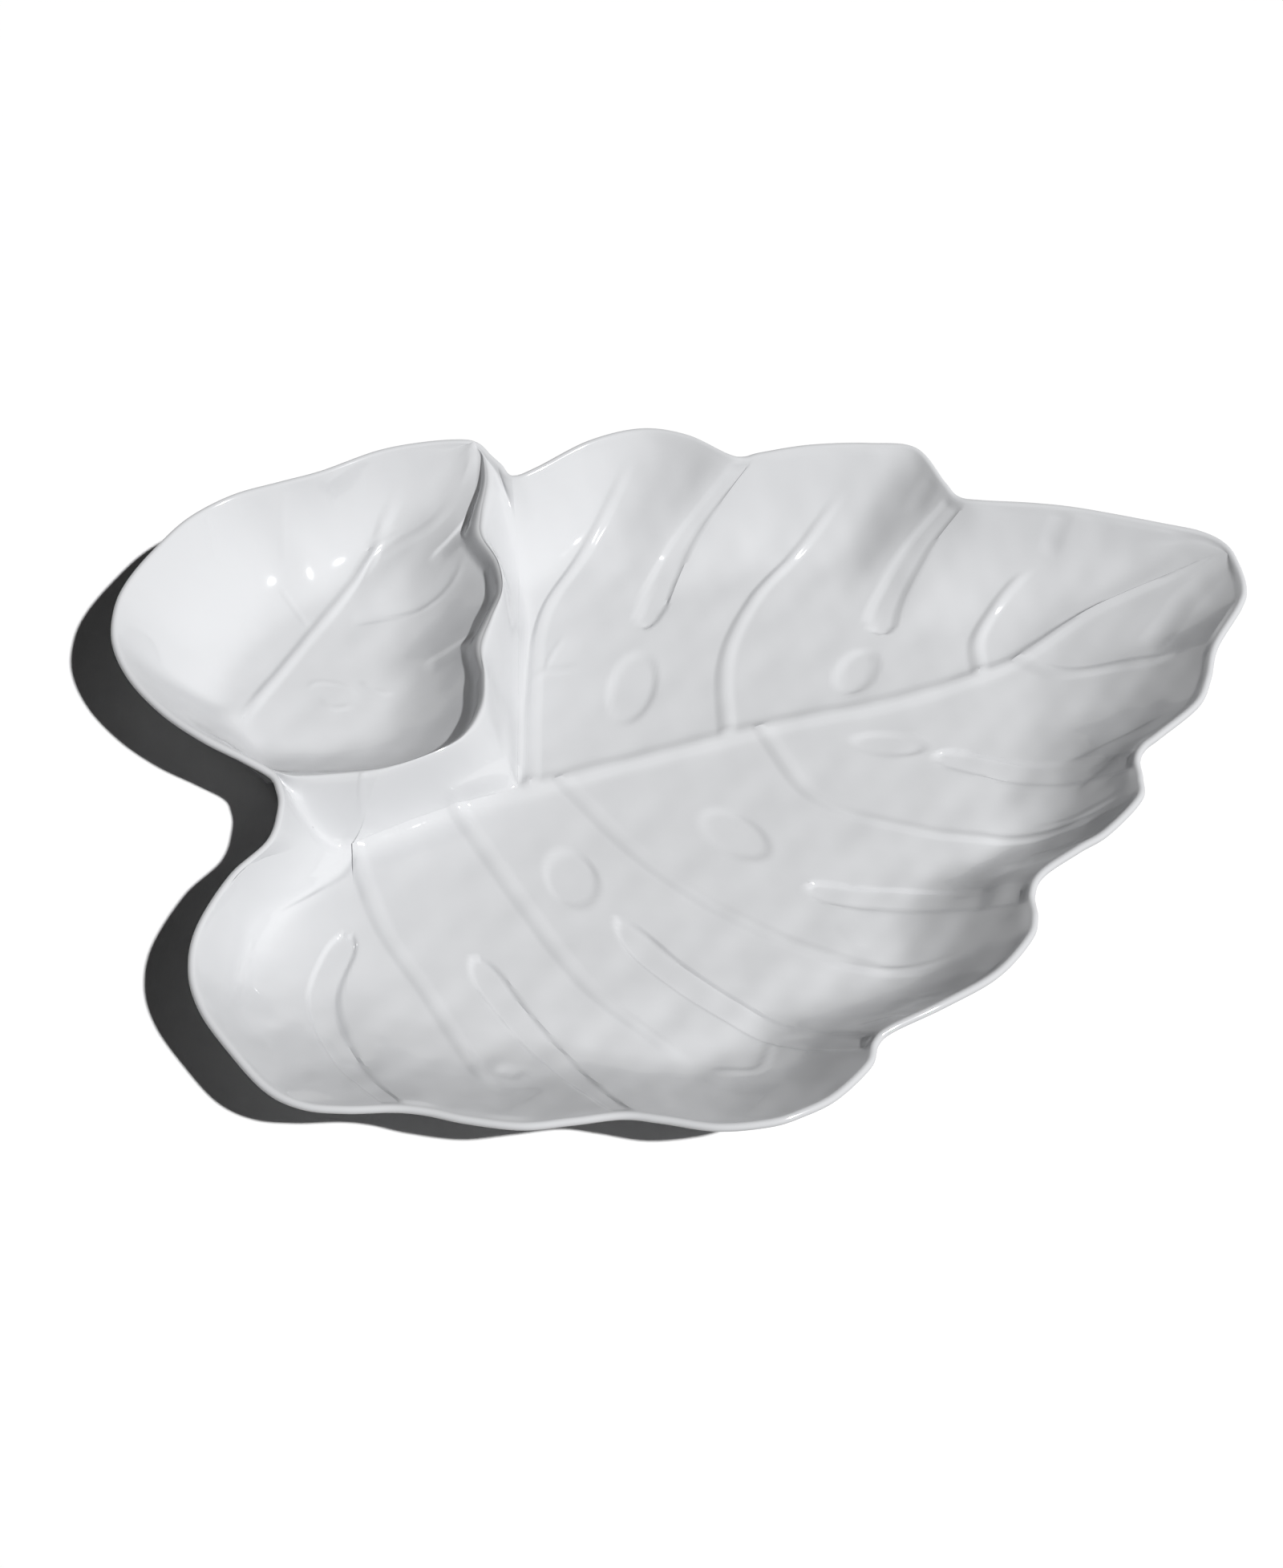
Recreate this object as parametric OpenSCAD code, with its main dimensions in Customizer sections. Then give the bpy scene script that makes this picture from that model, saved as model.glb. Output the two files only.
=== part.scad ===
// Leaf shaped serving plate with a small leaf shaped dip bowl at its stalk end.
// A thin shell of constant wall: a large lobed leaf tray, a small leaf bowl, and the steep
// divider that joins them, standing on two foot rings. Origin: middle of the box, on the table.

/* [Plate] */
// Overall length, from the bowl's rim to the leaf's tip
plate_l = 462; // [380:2:560]
// Overall width across the lobes
plate_w = 341; // [290:1:420]
// Height of the rim above the table
rim_h = 40; // [34:1:50]
// Thickness of the moulded wall
wall_t = 3.2; // [2.4:0.1:4]

/* [Dish] */
// Width of the curved wall of the large leaf, in from its rim
large_dish_w = 58; // [46:1:64]
// Width of the curved wall of the small bowl, in from its rim
small_dish_w = 44; // [36:1:48]

/* [Divider] */
// Height of the divider's crest above the table
divider_h = 37; // [31:1:44]
// Width of the steep band under the crest, on the bowl's side
band_w = 4.6; // [3.5:0.1:6]
// Height of that band, down to the small leaf's lobed edge
band_h = 9; // [5:0.5:11]

/* [Leaf relief] */
// Width of the raised midrib at the stalk
midrib_w = 8; // [6:0.5:10]
// Height of the raised midrib
midrib_rise = 1.6; // [0.8:0.1:2.2]
// Width of a raised side vein
vein_w = 5; // [3:0.2:6]
// Height of a raised side vein
vein_rise = 1; // [0.5:0.1:1.6]
// Width of a sunk slit that runs in from a notch of the rim
slit_w = 12; // [8:0.5:14]
// Depth of a sunk slit
slit_sink = 1.3; // [0.6:0.1:1.6]
// Depth of a sunk oval beside the midrib
oval_sink = 1.1; // [0.5:0.1:1.6]

/* [Foot rings] */
// Height of the foot rings
foot_h = 3; // [2:0.5:5]
// Wall of the foot rings
foot_t = 4; // [3:0.5:6]
// Length of the large leaf's oval foot ring
large_foot_l = 180; // [150:2:190]
// Width of the large leaf's oval foot ring
large_foot_w = 106; // [80:2:110]
// Diameter of the bowl's foot ring
small_foot_d = 42; // [32:2:44]

/* [Hidden] */

// The outline of the whole plate, one point after another from the left notch round by the
// near side: x in thousandths of the length, y of the width, height in hundredths of the rim's
outline_shares = [
    [-350, -44, 101], [-343, -61, 100], [-340, -87, 100], [-346, -131, 100],
    [-374, -179, 100], [-396, -248, 100], [-398, -304, 100], [-385, -354, 100],
    [-358, -405, 100], [-328, -450, 100], [-298, -471, 100], [-264, -476, 100],
    [-228, -474, 99],
    [-203, -478, 100], [-172, -489, 102], [-128, -498, 104], [-89, -491, 102],
    [-51, -483, 100],
    [-21, -489, 102], [21, -500, 105], [61, -495, 105], [86, -483, 104],
    [114, -461, 102], [142, -421, 100],
    [149, -393, 98],
    [161, -378, 100], [203, -349, 102], [247, -311, 101], [277, -263, 100], [284, -233, 99],
    [284, -202, 96],
    [293, -178, 99], [324, -147, 100], [350, -123, 100], [381, -76, 100], [385, -45, 98],
    [385, -18, 96],
    [391, -2, 98], [405, 14, 99], [441, 58, 100], [455, 97, 100], [466, 146, 100],
    [493, 207, 100],
    [500, 238, 100],
    [497, 276, 100], [489, 306, 100], [469, 327, 100], [434, 341, 100], [364, 365, 100],
    [321, 374, 100], [272, 381, 98],
    [253, 389, 96],
    [242, 410, 98], [218, 466, 100], [175, 475, 100], [119, 472, 100], [73, 461, 98],
    [57, 456, 96],
    [43, 459, 98], [6, 489, 100], [-37, 500, 100], [-86, 479, 100], [-134, 438, 96],
    [-155, 425, 95],
    [-165, 440, 98], [-175, 453, 101],
    [-186, 468, 105],
    [-201, 472, 108], [-237, 468, 108], [-280, 453, 108], [-330, 419, 108],
    [-366, 401, 108], [-408, 379, 108], [-445, 342, 108], [-471, 294, 108],
    [-492, 241, 108], [-500, 196, 108], [-497, 144, 108], [-478, 90, 108],
    [-446, 40, 108], [-409, 1, 108], [-374, -25, 105]
];
// Places on the outline: the tip, the two ends of the divider and the shoulder between them
tip_at = 43;
stalk_at = 63;
corner_at = 66;
outline_n = len(outline_shares);

// The crest of the divider between its two ends: x, y and hundredths of the divider's height
crest_shares = [
    [-327, -40, 103], [-287, -33, 100], [-253, -26, 100], [-220, -9, 100], [-190, 18, 100],
    [-175, 63, 100], [-174, 110, 100], [-178, 153, 100], [-170, 196, 100], [-161, 240, 100],
    [-166, 284, 100], [-182, 327, 100], [-183, 362, 100], [-179, 413, 103], [-182, 448, 108]
];
crest_n = len(crest_shares) + 1;
// Where along the crest the stalk and the foot's corner look at it
crest_stalk = 3;
crest_bend = 5.8;

// The midrib of each leaf, from the stalk to the tip
midrib_shares = [
    [-284, -74], [-193, -17], [-99, 26], [-3, 67], [92, 107],
    [189, 140], [282, 189], [367, 259], [463, 293]
];
bowl_rib_shares = [
    [-393, 108], [-371, 162], [-348, 216], [-325, 270], [-302, 324],
    [-280, 370], [-246, 396], [-222, 425], [-204, 452]
];

// Kinds of line that the leaf's stations follow
PLAIN = 0;
VEIN = 1;
SLIT = 2;
// Each line: place on the outline, place on the midrib, kind, where a vein ends or a slit
// begins as a share of the line, and three points between the midrib and the rim
near_line_shares = [
    [0, 0, PLAIN, 0, [-301, -75], [-316, -71], [-329, -60]],
    [8, 0, VEIN, 0.88, [-313, -157], [-359, -223], [-366, -314]],
    [12, 0, SLIT, 0.28, [-281, -182], [-299, -284], [-271, -384]],
    [15, 0, VEIN, 0.84, [-254, -185], [-207, -286], [-165, -391]],
    [17, 0.05, SLIT, 0.39, [-199, -162], [-154, -273], [-99, -375]],
    [20, 0.12, VEIN, 0.76, [-140, -146], [-78, -268], [4, -368]],
    [24, 0.18, SLIT, 0.38, [-88, -112], [-23, -228], [61, -316]],
    [28, 0.24, VEIN, 0.86, [-30, -98], [62, -188], [166, -246]],
    [30, 0.35, SLIT, 0.49, [43, -35], [109, -128], [202, -153]],
    [34, 0.47, VEIN, 0.94, [117, -6], [203, -51], [295, -67]],
    [36, 0.62, SLIT, 0.27, [221, 67], [279, 37], [339, 10]],
    [41, 0.78, VEIN, 0.78, [340, 176], [390, 170], [430, 160]],
    [43, 1, PLAIN, 0, [472, 280], [481, 266], [491, 252]]
];
far_line_shares = [
    [63, 0.19, PLAIN, 0, [-146, 135], [-148, 240], [-150, 340]],
    [60, 0.205, VEIN, 0.96, [-134, 146], [-127, 275], [-83, 390]],
    [57, 0.31, SLIT, 0.46, [-41, 159], [-29, 272], [-1, 377]],
    [54, 0.43, VEIN, 0.9, [39, 203], [69, 306], [121, 391]],
    [51, 0.6, SLIT, 0.37, [179, 207], [187, 283], [215, 348]],
    [48, 0.73, VEIN, 0.7, [268, 236], [292, 288], [327, 327]],
    [43, 1, PLAIN, 0, [472, 280], [481, 266], [491, 252]]
];
// The bowl's lines end on the crest (near) or on the outline (far)
bowl_near_shares = [
    [0, 0, PLAIN, 0, [-382, 70], [-371, 32], [-360, -6]],
    [4, 0.1, PLAIN, 0, [-345, 120], [-298, 80], [-255, 35]],
    [7.7, 0.34, SLIT, 0.72, [-306, 192], [-263, 176], [-220, 164]],
    [10, 0.4, VEIN, 0.85, [-300, 244], [-254, 252], [-207, 250]],
    [12, 0.62, SLIT, 0.68, [-282, 336], [-249, 338], [-216, 336]],
    [16, 1, PLAIN, 0, [-199, 456], [-195, 460], [-191, 464]]
];
bowl_far_shares = [
    [82, 0, PLAIN, 0, [-382, 70], [-371, 32], [-360, -6]],
    [77, 0.05, PLAIN, 0, [-415, 125], [-443, 134], [-470, 140]],
    [72, 0.4, PLAIN, 0, [-350, 290], [-370, 322], [-390, 352]],
    [69, 0.72, VEIN, 0.8, [-277, 395], [-278, 415], [-279, 434]],
    [66, 1, PLAIN, 0, [-199, 456], [-195, 460], [-191, 464]]
];
// The sunk ovals: centre x and y, length and width in thousandths of the plate's length, turn
oval_shares = [
    [-45, 161, 80, 40, -103], [157, 186, 54, 32, -120], [181, 75, 62, 24, -6],
    [44, -56, 67, 38, -39], [-96, -118, 60, 42, -69]
];
// The foot rings' middles and the turn of the oval one
large_foot_share = [32, 12];
small_foot_share = [-334, 166];
large_foot_turn = 26;

// Places of the mesh: shares of the way from the midrib's edge to the rim, and of the band
ring_shares = [0, 0.12, 0.24, 0.36, 0.48, 0.6, 0.71, 0.81, 0.895, 0.955, 1];
bowl_ring_shares = [0, 0.15, 0.32, 0.48, 0.63, 0.77, 0.89, 1];
slope_shares = [0, 0.17, 0.36, 0.56, 0.78, 1];
// How the steep walls are drawn
dish_power = 2;
rib_power = 1.6;
lip_tilt = 50;
lip_turns = [60, 120, 180];
steepest = 2.1;
crown_share = 1.7;
// Where each midrib starts to climb, and how high it ends, as shares
large_rib_rise_share = [0.76, 0.95];
bowl_rib_rise_share = [0.48, 0.96];
// Where each raised midrib has run out
large_rib_end_share = 0.97;
bowl_rib_end_share = 0.72;
// How much wider than elsewhere the large leaf's wall is at places on the outline
dish_w_shares = [
    [0, 1.1], [4, 1.3], [8, 1.5], [13, 1.4], [17, 1.1], [20, 1], [24, 0.95], [30, 1],
    [34, 0.9], [37, 1], [41, 1.3], [44, 1.2], [48, 1], [63, 1],
];

lip_in = wall_t / 2 * (1 + sin(lip_tilt));
lip_drop = wall_t / 2 * (1 - cos(lip_tilt));
floor_z = foot_h + wall_t;

function clamp01(x) = min(1, max(0, x));
function smooth(x) = let (c = clamp01(x)) c * c * (3 - 2 * c);
function bump(x) = let (c = clamp01(abs(x))) (1 - c * c) * (1 - c * c);
function mix(a, b, f) = a + (b - a) * f;
function flat(p) = [p.x, p.y];
function unit(v) = v / norm(v);
// A share point in millimetres; a third number is a height in hundredths of h
function place(p, h) =
    len(p) == 2 ? [p.x * plate_l / 1000, p.y * plate_w / 1000]
                : [p.x * plate_l / 1000, p.y * plate_w / 1000, p.z * h / 100];
// A smooth curve through four neighbouring points, between the middle two
function blend4(a, b, c, d, t) =
    0.5 * (2 * b + (c - a) * t + (2 * a - 5 * b + 4 * c - d) * t * t
           + (3 * b - a - 3 * c + d) * t * t * t);
// A point at place s on an open list of points
function along(pts, s) =
    let (last = len(pts) - 1,
         i = min(last - 1, max(0, floor(s))),
         a = i == 0 ? 2 * pts[0] - pts[1] : pts[i - 1],
         d = i == last - 1 ? 2 * pts[last] - pts[last - 1] : pts[i + 2])
    blend4(a, pts[i], pts[i + 1], d, s - i);

outline_pts = [for (p = outline_shares) place(p, rim_h)];
function outline_pt(i) = outline_pts[(i % outline_n + outline_n) % outline_n];
function outline(s) =
    let (q = s % outline_n, i = floor(q))
    blend4(outline_pt(i - 1), outline_pt(i), outline_pt(i + 1), outline_pt(i + 2), q - i);
function outward(s) =
    let (q = s % outline_n, d = flat(outline(q + 0.1) - outline(q - 0.1)))
    unit([d.y, -d.x]);
// The inner edge of the rounded lip, and the points round the lip from there
function lip_edge(s) =
    let (o = outline(s), n = outward(s))
    [o.x - n.x * lip_in, o.y - n.y * lip_in, o.z - lip_drop];
function lip_pt(s, turn) =
    let (e = lip_edge(s), n = outward(s), r = wall_t / 2,
         c = e + r * [n.x * sin(lip_tilt), n.y * sin(lip_tilt), -cos(lip_tilt)],
         side = -sin(lip_tilt) * cos(turn) + cos(lip_tilt) * sin(turn),
         up = cos(lip_tilt) * cos(turn) + sin(lip_tilt) * sin(turn))
    c + r * [n.x * side, n.y * side, up];

crest_pts = concat([lip_edge(0)], [for (p = crest_shares) place(p, divider_h)], [lip_edge(corner_at)]);
function crest(c) = along(crest_pts, c);

// One leaf is a list: midrib points, its two sets of lines, and the function of its rim end
function rib_pts(shares) = [for (p = shares) place(p, 0)];
function rib_at(rib, m) = along(rib, m * (len(rib) - 1));
function rim_end(s, on_crest) = on_crest ? crest(s) : lip_edge(s);
function line_pts(line, rib, on_crest) =
    concat([rib_at(rib, line[1])],
           [for (i = [4:6]) place(line[i], 0)],
           [flat(rim_end(line[0], on_crest))]);
function line_at(pts, r) = along(pts, r * (len(pts) - 1));
function line_no(lines, s) =
    let (up = lines[len(lines) - 1][0] > lines[0][0],
         past = [for (i = [0:len(lines) - 2]) if (up ? lines[i][0] <= s : lines[i][0] >= s) i])
    past[len(past) - 1];
function set_pts(lines, rib, on_crest) = [for (l = lines) line_pts(l, rib, on_crest)];

// A leaf's station s: everything that its points need, worked out once
function station(s, lines, pts, rib, on_crest) =
    let (i = line_no(lines, s),
         f = (s - lines[i][0]) / (lines[i + 1][0] - lines[i][0]),
         m = mix(lines[i][1], lines[i + 1][1], f),
         root = rib_at(rib, m),
         end = rim_end(s, on_crest),
         root_off = root - mix(pts[i][0], pts[i + 1][0], f),
         end_off = flat(end) - mix(pts[i][4], pts[i + 1][4], f),
         reach = [for (r = [0:0.125:1]) station_pt(r, pts[i], pts[i + 1], f, root_off, end_off)],
         length = sum([for (k = [1:8]) norm(reach[k] - reach[k - 1])]))
    [s, m, end, length, i, f, root_off, end_off];
function sum(v) = [for (i = 0, t = 0; i <= len(v); t = t + (i < len(v) ? v[i] : 0), i = i + 1) t][len(v)];
function station_pt(r, a, b, f, root_off, end_off) =
    mix(line_at(a, r), line_at(b, r), f) + (1 - r) * (1 - r) * root_off + r * r * end_off;
function point_at(st, r, pts) =
    station_pt(r, pts[st[4]], pts[st[4] + 1], st[5], st[6], st[7]);

// Raised veins and sunk slits beside one line, for a point p at share r of the way
function line_relief(line, pts, p, r) =
    let (d = norm(p - line_at(pts, r)),
         begun = clamp01((r - line[3]) / 0.09),
         half = slit_w / 2 * sqrt(begun * (2 - begun)) * mix(1, 0.62, smooth((r - 0.6) / 0.4)))
    line[2] == VEIN ? vein_rise * bump(d / (vein_w * mix(1, 0.8, r))) * smooth((line[3] - r) / 0.12) :
    line[2] == SLIT && r > line[3] ? -slit_sink * smooth((half - d) / (slit_w / 6) + 0.5) : 0;
function oval_relief(p) =
    sum([for (o = oval_shares)
        let (c = place([o[0], o[1]], 0), q = p - c, k = plate_l / 2000,
             a = (q.x * cos(o[4]) + q.y * sin(o[4])) / (o[2] * k),
             b = (q.y * cos(o[4]) - q.x * sin(o[4])) / (o[3] * k))
        -oval_sink * smooth((1.15 - norm([a, b])) * 3)]);
function rib_relief(p, root, m) =
    midrib_rise * mix(1, 0.45, m) * bump(norm(p - root) / (midrib_w * mix(0.75, 0.4, m)));

// Height of a leaf's middle line and of its dished wall
function rib_z(m, rise) =
    mix(floor_z, rim_h * rise[1], pow(clamp01((m - rise[0]) / (1 - rise[0])), rib_power));
function dish_z(rib_h, end_h, length, dish_w, r) =
    let (w = min(length, dish_w), t = clamp01(1 - (1 - r) * length / w))
    mix(rib_h, end_h, pow(t, dish_power));

// Columns of a leaf: for each station, its points from the midrib to the lip
function large_columns(places, lines) =
    let (rib = rib_pts(midrib_shares), pts = set_pts(lines, rib, false))
    [for (s = places)
        let (st = station(s, lines, pts, rib, false),
             root = rib_at(rib, st[1]),
             first = min(0.3, midrib_w / 2 * mix(1, 0.5, st[1]) / st[3]),
             rib_h = rib_z(st[1], large_rib_rise_share),
             wide = large_dish_w * lookup(st[0], dish_w_shares),
             rs = concat([0], [for (q = ring_shares) mix(first, 1, q)]))
        [for (r = rs)
            let (p = point_at(st, r, pts),
                 base = dish_z(rib_h, st[2].z, st[3], wide, r),
                 fade = smooth((1 - r) * st[3] / wall_t),
                 rise = line_relief(lines[st[4]], pts[st[4]], p, r)
                      + line_relief(lines[st[4] + 1], pts[st[4] + 1], p, r)
                      + oval_relief(p)
                      + rib_relief(p, root, st[1]) * smooth((large_rib_end_share - st[1]) * 16))
            [p.x, p.y, base, base + rise * fade]]];
function band_fade(c) = smooth(c / 5) * smooth((crest_n - c) / 3);
function small_columns(places, lines, on_crest) =
    let (rib = rib_pts(bowl_rib_shares), pts = set_pts(lines, rib, on_crest))
    [for (s = places)
        let (st = station(s, lines, pts, rib, on_crest),
             root = rib_at(rib, st[1]),
             first = min(0.3, midrib_w / 4 / st[3]),
             rib_h = rib_z(st[1], bowl_rib_rise_share),
             edge = 1 - min(0.3, band_w / st[3]),
             sunk = band_h * (on_crest ? band_fade(s) : 0),
             rs = concat([0], [for (q = bowl_ring_shares) mix(first, edge, q)],
                         [mix(edge, 1, 0.5), 1]))
        [for (r = rs)
            let (p = point_at(st, r, pts),
                 dish_end = mix(1, edge, sunk / band_h),
                 dish = dish_z(rib_h, st[2].z - sunk, st[3], small_dish_w, min(1, r / dish_end)),
                 band = sunk * pow(clamp01((r - edge) / (1 - edge)), 0.75),
                 base = dish + band,
                 fade = smooth((1 - r) * st[3] / wall_t),
                 rise = 0.7 * line_relief(lines[st[4]], pts[st[4]], p, r)
                      + 0.7 * line_relief(lines[st[4] + 1], pts[st[4] + 1], p, r)
                      + 0.7 * rib_relief(p, root, st[1]) * smooth((bowl_rib_end_share - st[1]) * 10))
            [p.x, p.y, base, base + rise * fade]]];

// Upright thickness of the wall at ring j of a column, thicker where the wall is steep
function deep(col, j) =
    let (a = col[max(0, j - 1)], b = col[min(len(col) - 1, j + 1)],
         run = max(wall_t / 8, norm(flat(b) - flat(a))))
    wall_t * min(steepest, sqrt(1 + pow((b[2] - a[2]) / run, 2)));
function top_pt(col, j) = [col[j].x, col[j].y, col[j][3]];
function under_pt(col, j) = [col[j].x, col[j].y, max(foot_h, col[j][2] - deep(col, j))];

// Places of the stations between two lines' ends: the outline's own points, a step between
// them, and a step close to each vein
function is_vein(lines, s) = len([for (l = lines) if (l[0] == s && l[2] == VEIN) 1]) > 0;
function places(lines, from, to) =
    concat([for (i = [from:to - 1])
        each concat([i], is_vein(lines, i) ? [i + 0.18] : [], [i + 0.5],
                    is_vein(lines, i + 1) ? [i + 0.82] : [])], [to]);
function turned(v) = [for (i = [len(v) - 1:-1:0]) v[i]];

// The section of a shell at one station: along the top from the midrib to the rim, round the
// lip or down through the crest, and back below
function crest_under(c) =
    c <= 0 ? lip_pt(0, 180) : c >= crest_n ? lip_pt(corner_at, 180)
           : crest(c) - [0, 0, crown_share * wall_t];
function section(col, s, on_crest) =
    let (last = len(col) - 1)
    concat([for (j = [0:last - 1]) top_pt(col, j)],
           on_crest ? [crest(s), crest_under(s)]
                    : concat([lip_edge(s)], [for (turn = lip_turns) lip_pt(s, turn)]),
           [for (j = [last - 1:-1:0]) under_pt(col, j)]);
// A section with the ends of another one, where two halves of a leaf meet on the midrib
function with_root(sec, near) =
    [for (k = [0:len(sec) - 1]) k == 0 ? near[0] : k == len(sec) - 1 ? near[len(near) - 1] : sec[k]];
function root_no(m, near_ms) = len([for (x = near_ms) if (x <= m + 0.0001) 1]) - 1;
// Near sections, each with the last root at or before it that the far half has too
function shared_roots(secs, nos) =
    [for (k = [0:len(secs) - 1])
        let (shared = [for (u = nos) if (u <= k) u])
        with_root(secs[k], secs[len(shared) == 0 ? k : max(shared)])];

// Faces: strips of quads between neighbouring sections, and a cap over one section
function turn_face(f, flip) = flip ? turned(f) : f;
function quad(a, b, c, d, flip) = [turn_face([a, b, c], flip), turn_face([a, c, d], flip)];
function strips(at, count, n, flip) =
    [for (i = [0:count - 2], k = [0:n - 2])
        each quad(at + i * n + k, at + i * n + n + k, at + i * n + n + k + 1, at + i * n + k + 1, flip)];
function cap(at, n, flip) =
    [for (k = [0:floor(n / 2) - 2])
        each quad(at + k, at + k + 1, at + n - 2 - k, at + n - 1 - k, flip)];
// A solid from points and faces, less the faces that have shrunk to a line
module solid(pts, faces) {
    polyhedron(points = pts,
               faces = [for (f = faces)
                   if (pts[f[0]] != pts[f[1]] && pts[f[1]] != pts[f[2]] && pts[f[0]] != pts[f[2]]) f]);
}

// The large leaf's two halves
near_places = places(near_line_shares, 0, tip_at);
far_places = places(far_line_shares, tip_at, stalk_at);
near_cols = large_columns(near_places, near_line_shares);
far_cols = large_columns(far_places, far_line_shares);
near_ms = [for (s = near_places) line_m(near_line_shares, s)];
far_nos = [for (s = far_places) root_no(line_m(far_line_shares, s), near_ms)];
near_secs = shared_roots([for (i = [0:len(near_places) - 1]) section(near_cols[i], near_places[i], false)],
                         far_nos);
far_secs = [for (i = [0:len(far_places) - 1])
    i == 0 ? near_secs[len(near_secs) - 1]
        : with_root(section(far_cols[i], far_places[i], false), near_secs[far_nos[i]])];
far_last = len(far_places) - 1;
function line_m(lines, s) =
    let (i = line_no(lines, s), f = (s - lines[i][0]) / (lines[i + 1][0] - lines[i][0]))
    mix(lines[i][1], lines[i + 1][1], f);
// The last of the near stations that start together at the stalk
stalk_no = root_no(0, near_ms);

module large_leaf() {
    n = len(near_secs[0]);
    far_from = len(near_secs) * n;
    wall = [for (q = [stalk_no:far_nos[far_last] - 1])
        each quad((q + 1) * n, q * n, q * n + n - 1, (q + 1) * n + n - 1, false)];
    color("white")
        solid([each for (s = near_secs) s, each for (s = far_secs) s],
              concat(strips(0, len(near_secs), n, false), strips(far_from, len(far_secs), n, false),
                     cap(0, n, false), cap(far_from + far_last * n, n, true), wall));
}

// The divider's foot runs in from the left notch, along the midrib and out to the far rim
ring_n = len(ring_shares);
function seam_pts(sec) =
    [for (j = [0:ring_n]) [sec[j], sec[len(sec) - 1 - j]]];
foot_pts = concat(turned(seam_pts(near_secs[0])),
                  [for (q = [stalk_no + 1:far_nos[far_last]]) seam_pts(near_secs[q])[0]],
                  [for (j = [1:ring_n]) seam_pts(far_secs[far_last])[j]]);
foot_n = len(foot_pts) - 1;
bend_no = foot_n - ring_n;
function crest_of(k) =
    k <= ring_n ? mix(0, crest_stalk, k / ring_n) :
    k <= bend_no ? mix(crest_stalk, crest_bend, (k - ring_n) / (bend_no - ring_n)) :
    mix(crest_bend, crest_n, (k - bend_no) / ring_n);
crest_places = [for (k = [0:foot_n]) crest_of(k)];
slope_n = len(slope_shares) - 1;
// The divider's slope is hollow at its foot and rounded at its crest
function slope_rise(t) = t * t * (3 - 2 * t) + 0.25 * t * (1 - t) * (1 - t) - 0.5 * t * t * (t - 1);
function slope_pt(k, t) =
    let (a = foot_pts[k][0], b = crest(crest_places[k]), z = mix(a.z, b.z, slope_rise(t)))
    k == 0 ? a
        : k == foot_n ? lip_edge(mix(stalk_at, corner_at, t))
        : [mix(a.x, b.x, t), mix(a.y, b.y, t), z];
function slope_section(k) =
    let (col = [for (t = slope_shares) let (p = slope_pt(k, t)) [p.x, p.y, p.z, p.z]],
         under = [for (i = [0:slope_n])
             i == 0 ? foot_pts[k][1] :
             i == slope_n ? crest_under(crest_places[k]) :
             k == 0 ? foot_pts[k][1] :
             k == foot_n ? lip_pt(mix(stalk_at, corner_at, slope_shares[i]), 180) : under_pt(col, i)])
    concat([for (i = [0:slope_n]) top_pt(col, i)], turned(under));

module divider() {
    secs = [for (k = [0:foot_n]) slope_section(k)];
    n = len(secs[0]);
    foot_wall = [for (k = [0:foot_n - 1])
        let (a = k * n, b = k * n + n - 1)
        each k < ring_n ? quad(b, b + n, a + n, a, true) : quad(a, b, b + n, a + n, true)];
    end = foot_n * n;
    lip_from = (foot_n + 1) * n;
    turns = len(lip_turns) - 1;
    lips = [for (t = slope_shares, i = [0:turns - 1]) lip_pt(mix(stalk_at, corner_at, t), lip_turns[i])];
    function lip_index(i, q) =
        q == 0 ? end + i
            : q > turns ? end + n - 1 - i
            : lip_from + i * turns + q - 1;
    lip_faces = [for (i = [0:slope_n - 1], q = [0:turns])
        each quad(lip_index(i, q), lip_index(i + 1, q), lip_index(i + 1, q + 1), lip_index(i, q + 1), false)];
    function lip_end(i, turned) =
        quad(lip_index(i, 0), lip_index(i, 1), lip_index(i, 2), lip_index(i, 3), turned);
    ends = concat(lip_end(0, false), lip_end(slope_n, true));
    color("white")
        solid(concat([for (s = secs) each s], lips),
              concat(strips(0, foot_n + 1, n, true), foot_wall, lip_faces, ends));
}

// The small bowl, whose near half ends on the crest and whose far half has a rim of its own
bowl_near_cols = small_columns(crest_places, bowl_near_shares, true);
bowl_far_places = places(bowl_far_shares, corner_at, outline_n);
bowl_far_cols = small_columns(bowl_far_places, bowl_far_shares, false);
bowl_ms = [for (s = crest_places) line_m(bowl_near_shares, s)];
bowl_nos = [for (s = bowl_far_places) root_no(line_m(bowl_far_shares, s), bowl_ms)];
bowl_near_secs = shared_roots([for (k = [0:foot_n]) section(bowl_near_cols[k], crest_places[k], true)],
                              bowl_nos);
bowl_last = len(bowl_far_places) - 1;
bowl_far_secs = [for (i = [0:bowl_last])
    i == 0 ? section(bowl_near_cols[foot_n], corner_at, false) :
    i == bowl_last ? section(bowl_near_cols[0], 0, false)
        : with_root(section(bowl_far_cols[i], bowl_far_places[i], false), bowl_near_secs[bowl_nos[i]])];

module small_leaf() {
    n = len(bowl_near_secs[0]);
    m = len(bowl_far_secs[0]);
    far_from = (foot_n + 1) * n;
    j = (m - 4) / 2;
    first = far_from + j;
    last = first + bowl_last * m;
    lip_caps = concat(quad(first, first + 1, first + 2, first + 3, false),
                      quad(last, last + 1, last + 2, last + 3, true));
    color("white")
        solid(concat([for (s = bowl_near_secs) each s], [for (s = bowl_far_secs) each s]),
              concat(strips(0, foot_n + 1, n, false), strips(far_from, bowl_last + 1, m, false),
                     lip_caps));
}

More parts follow.
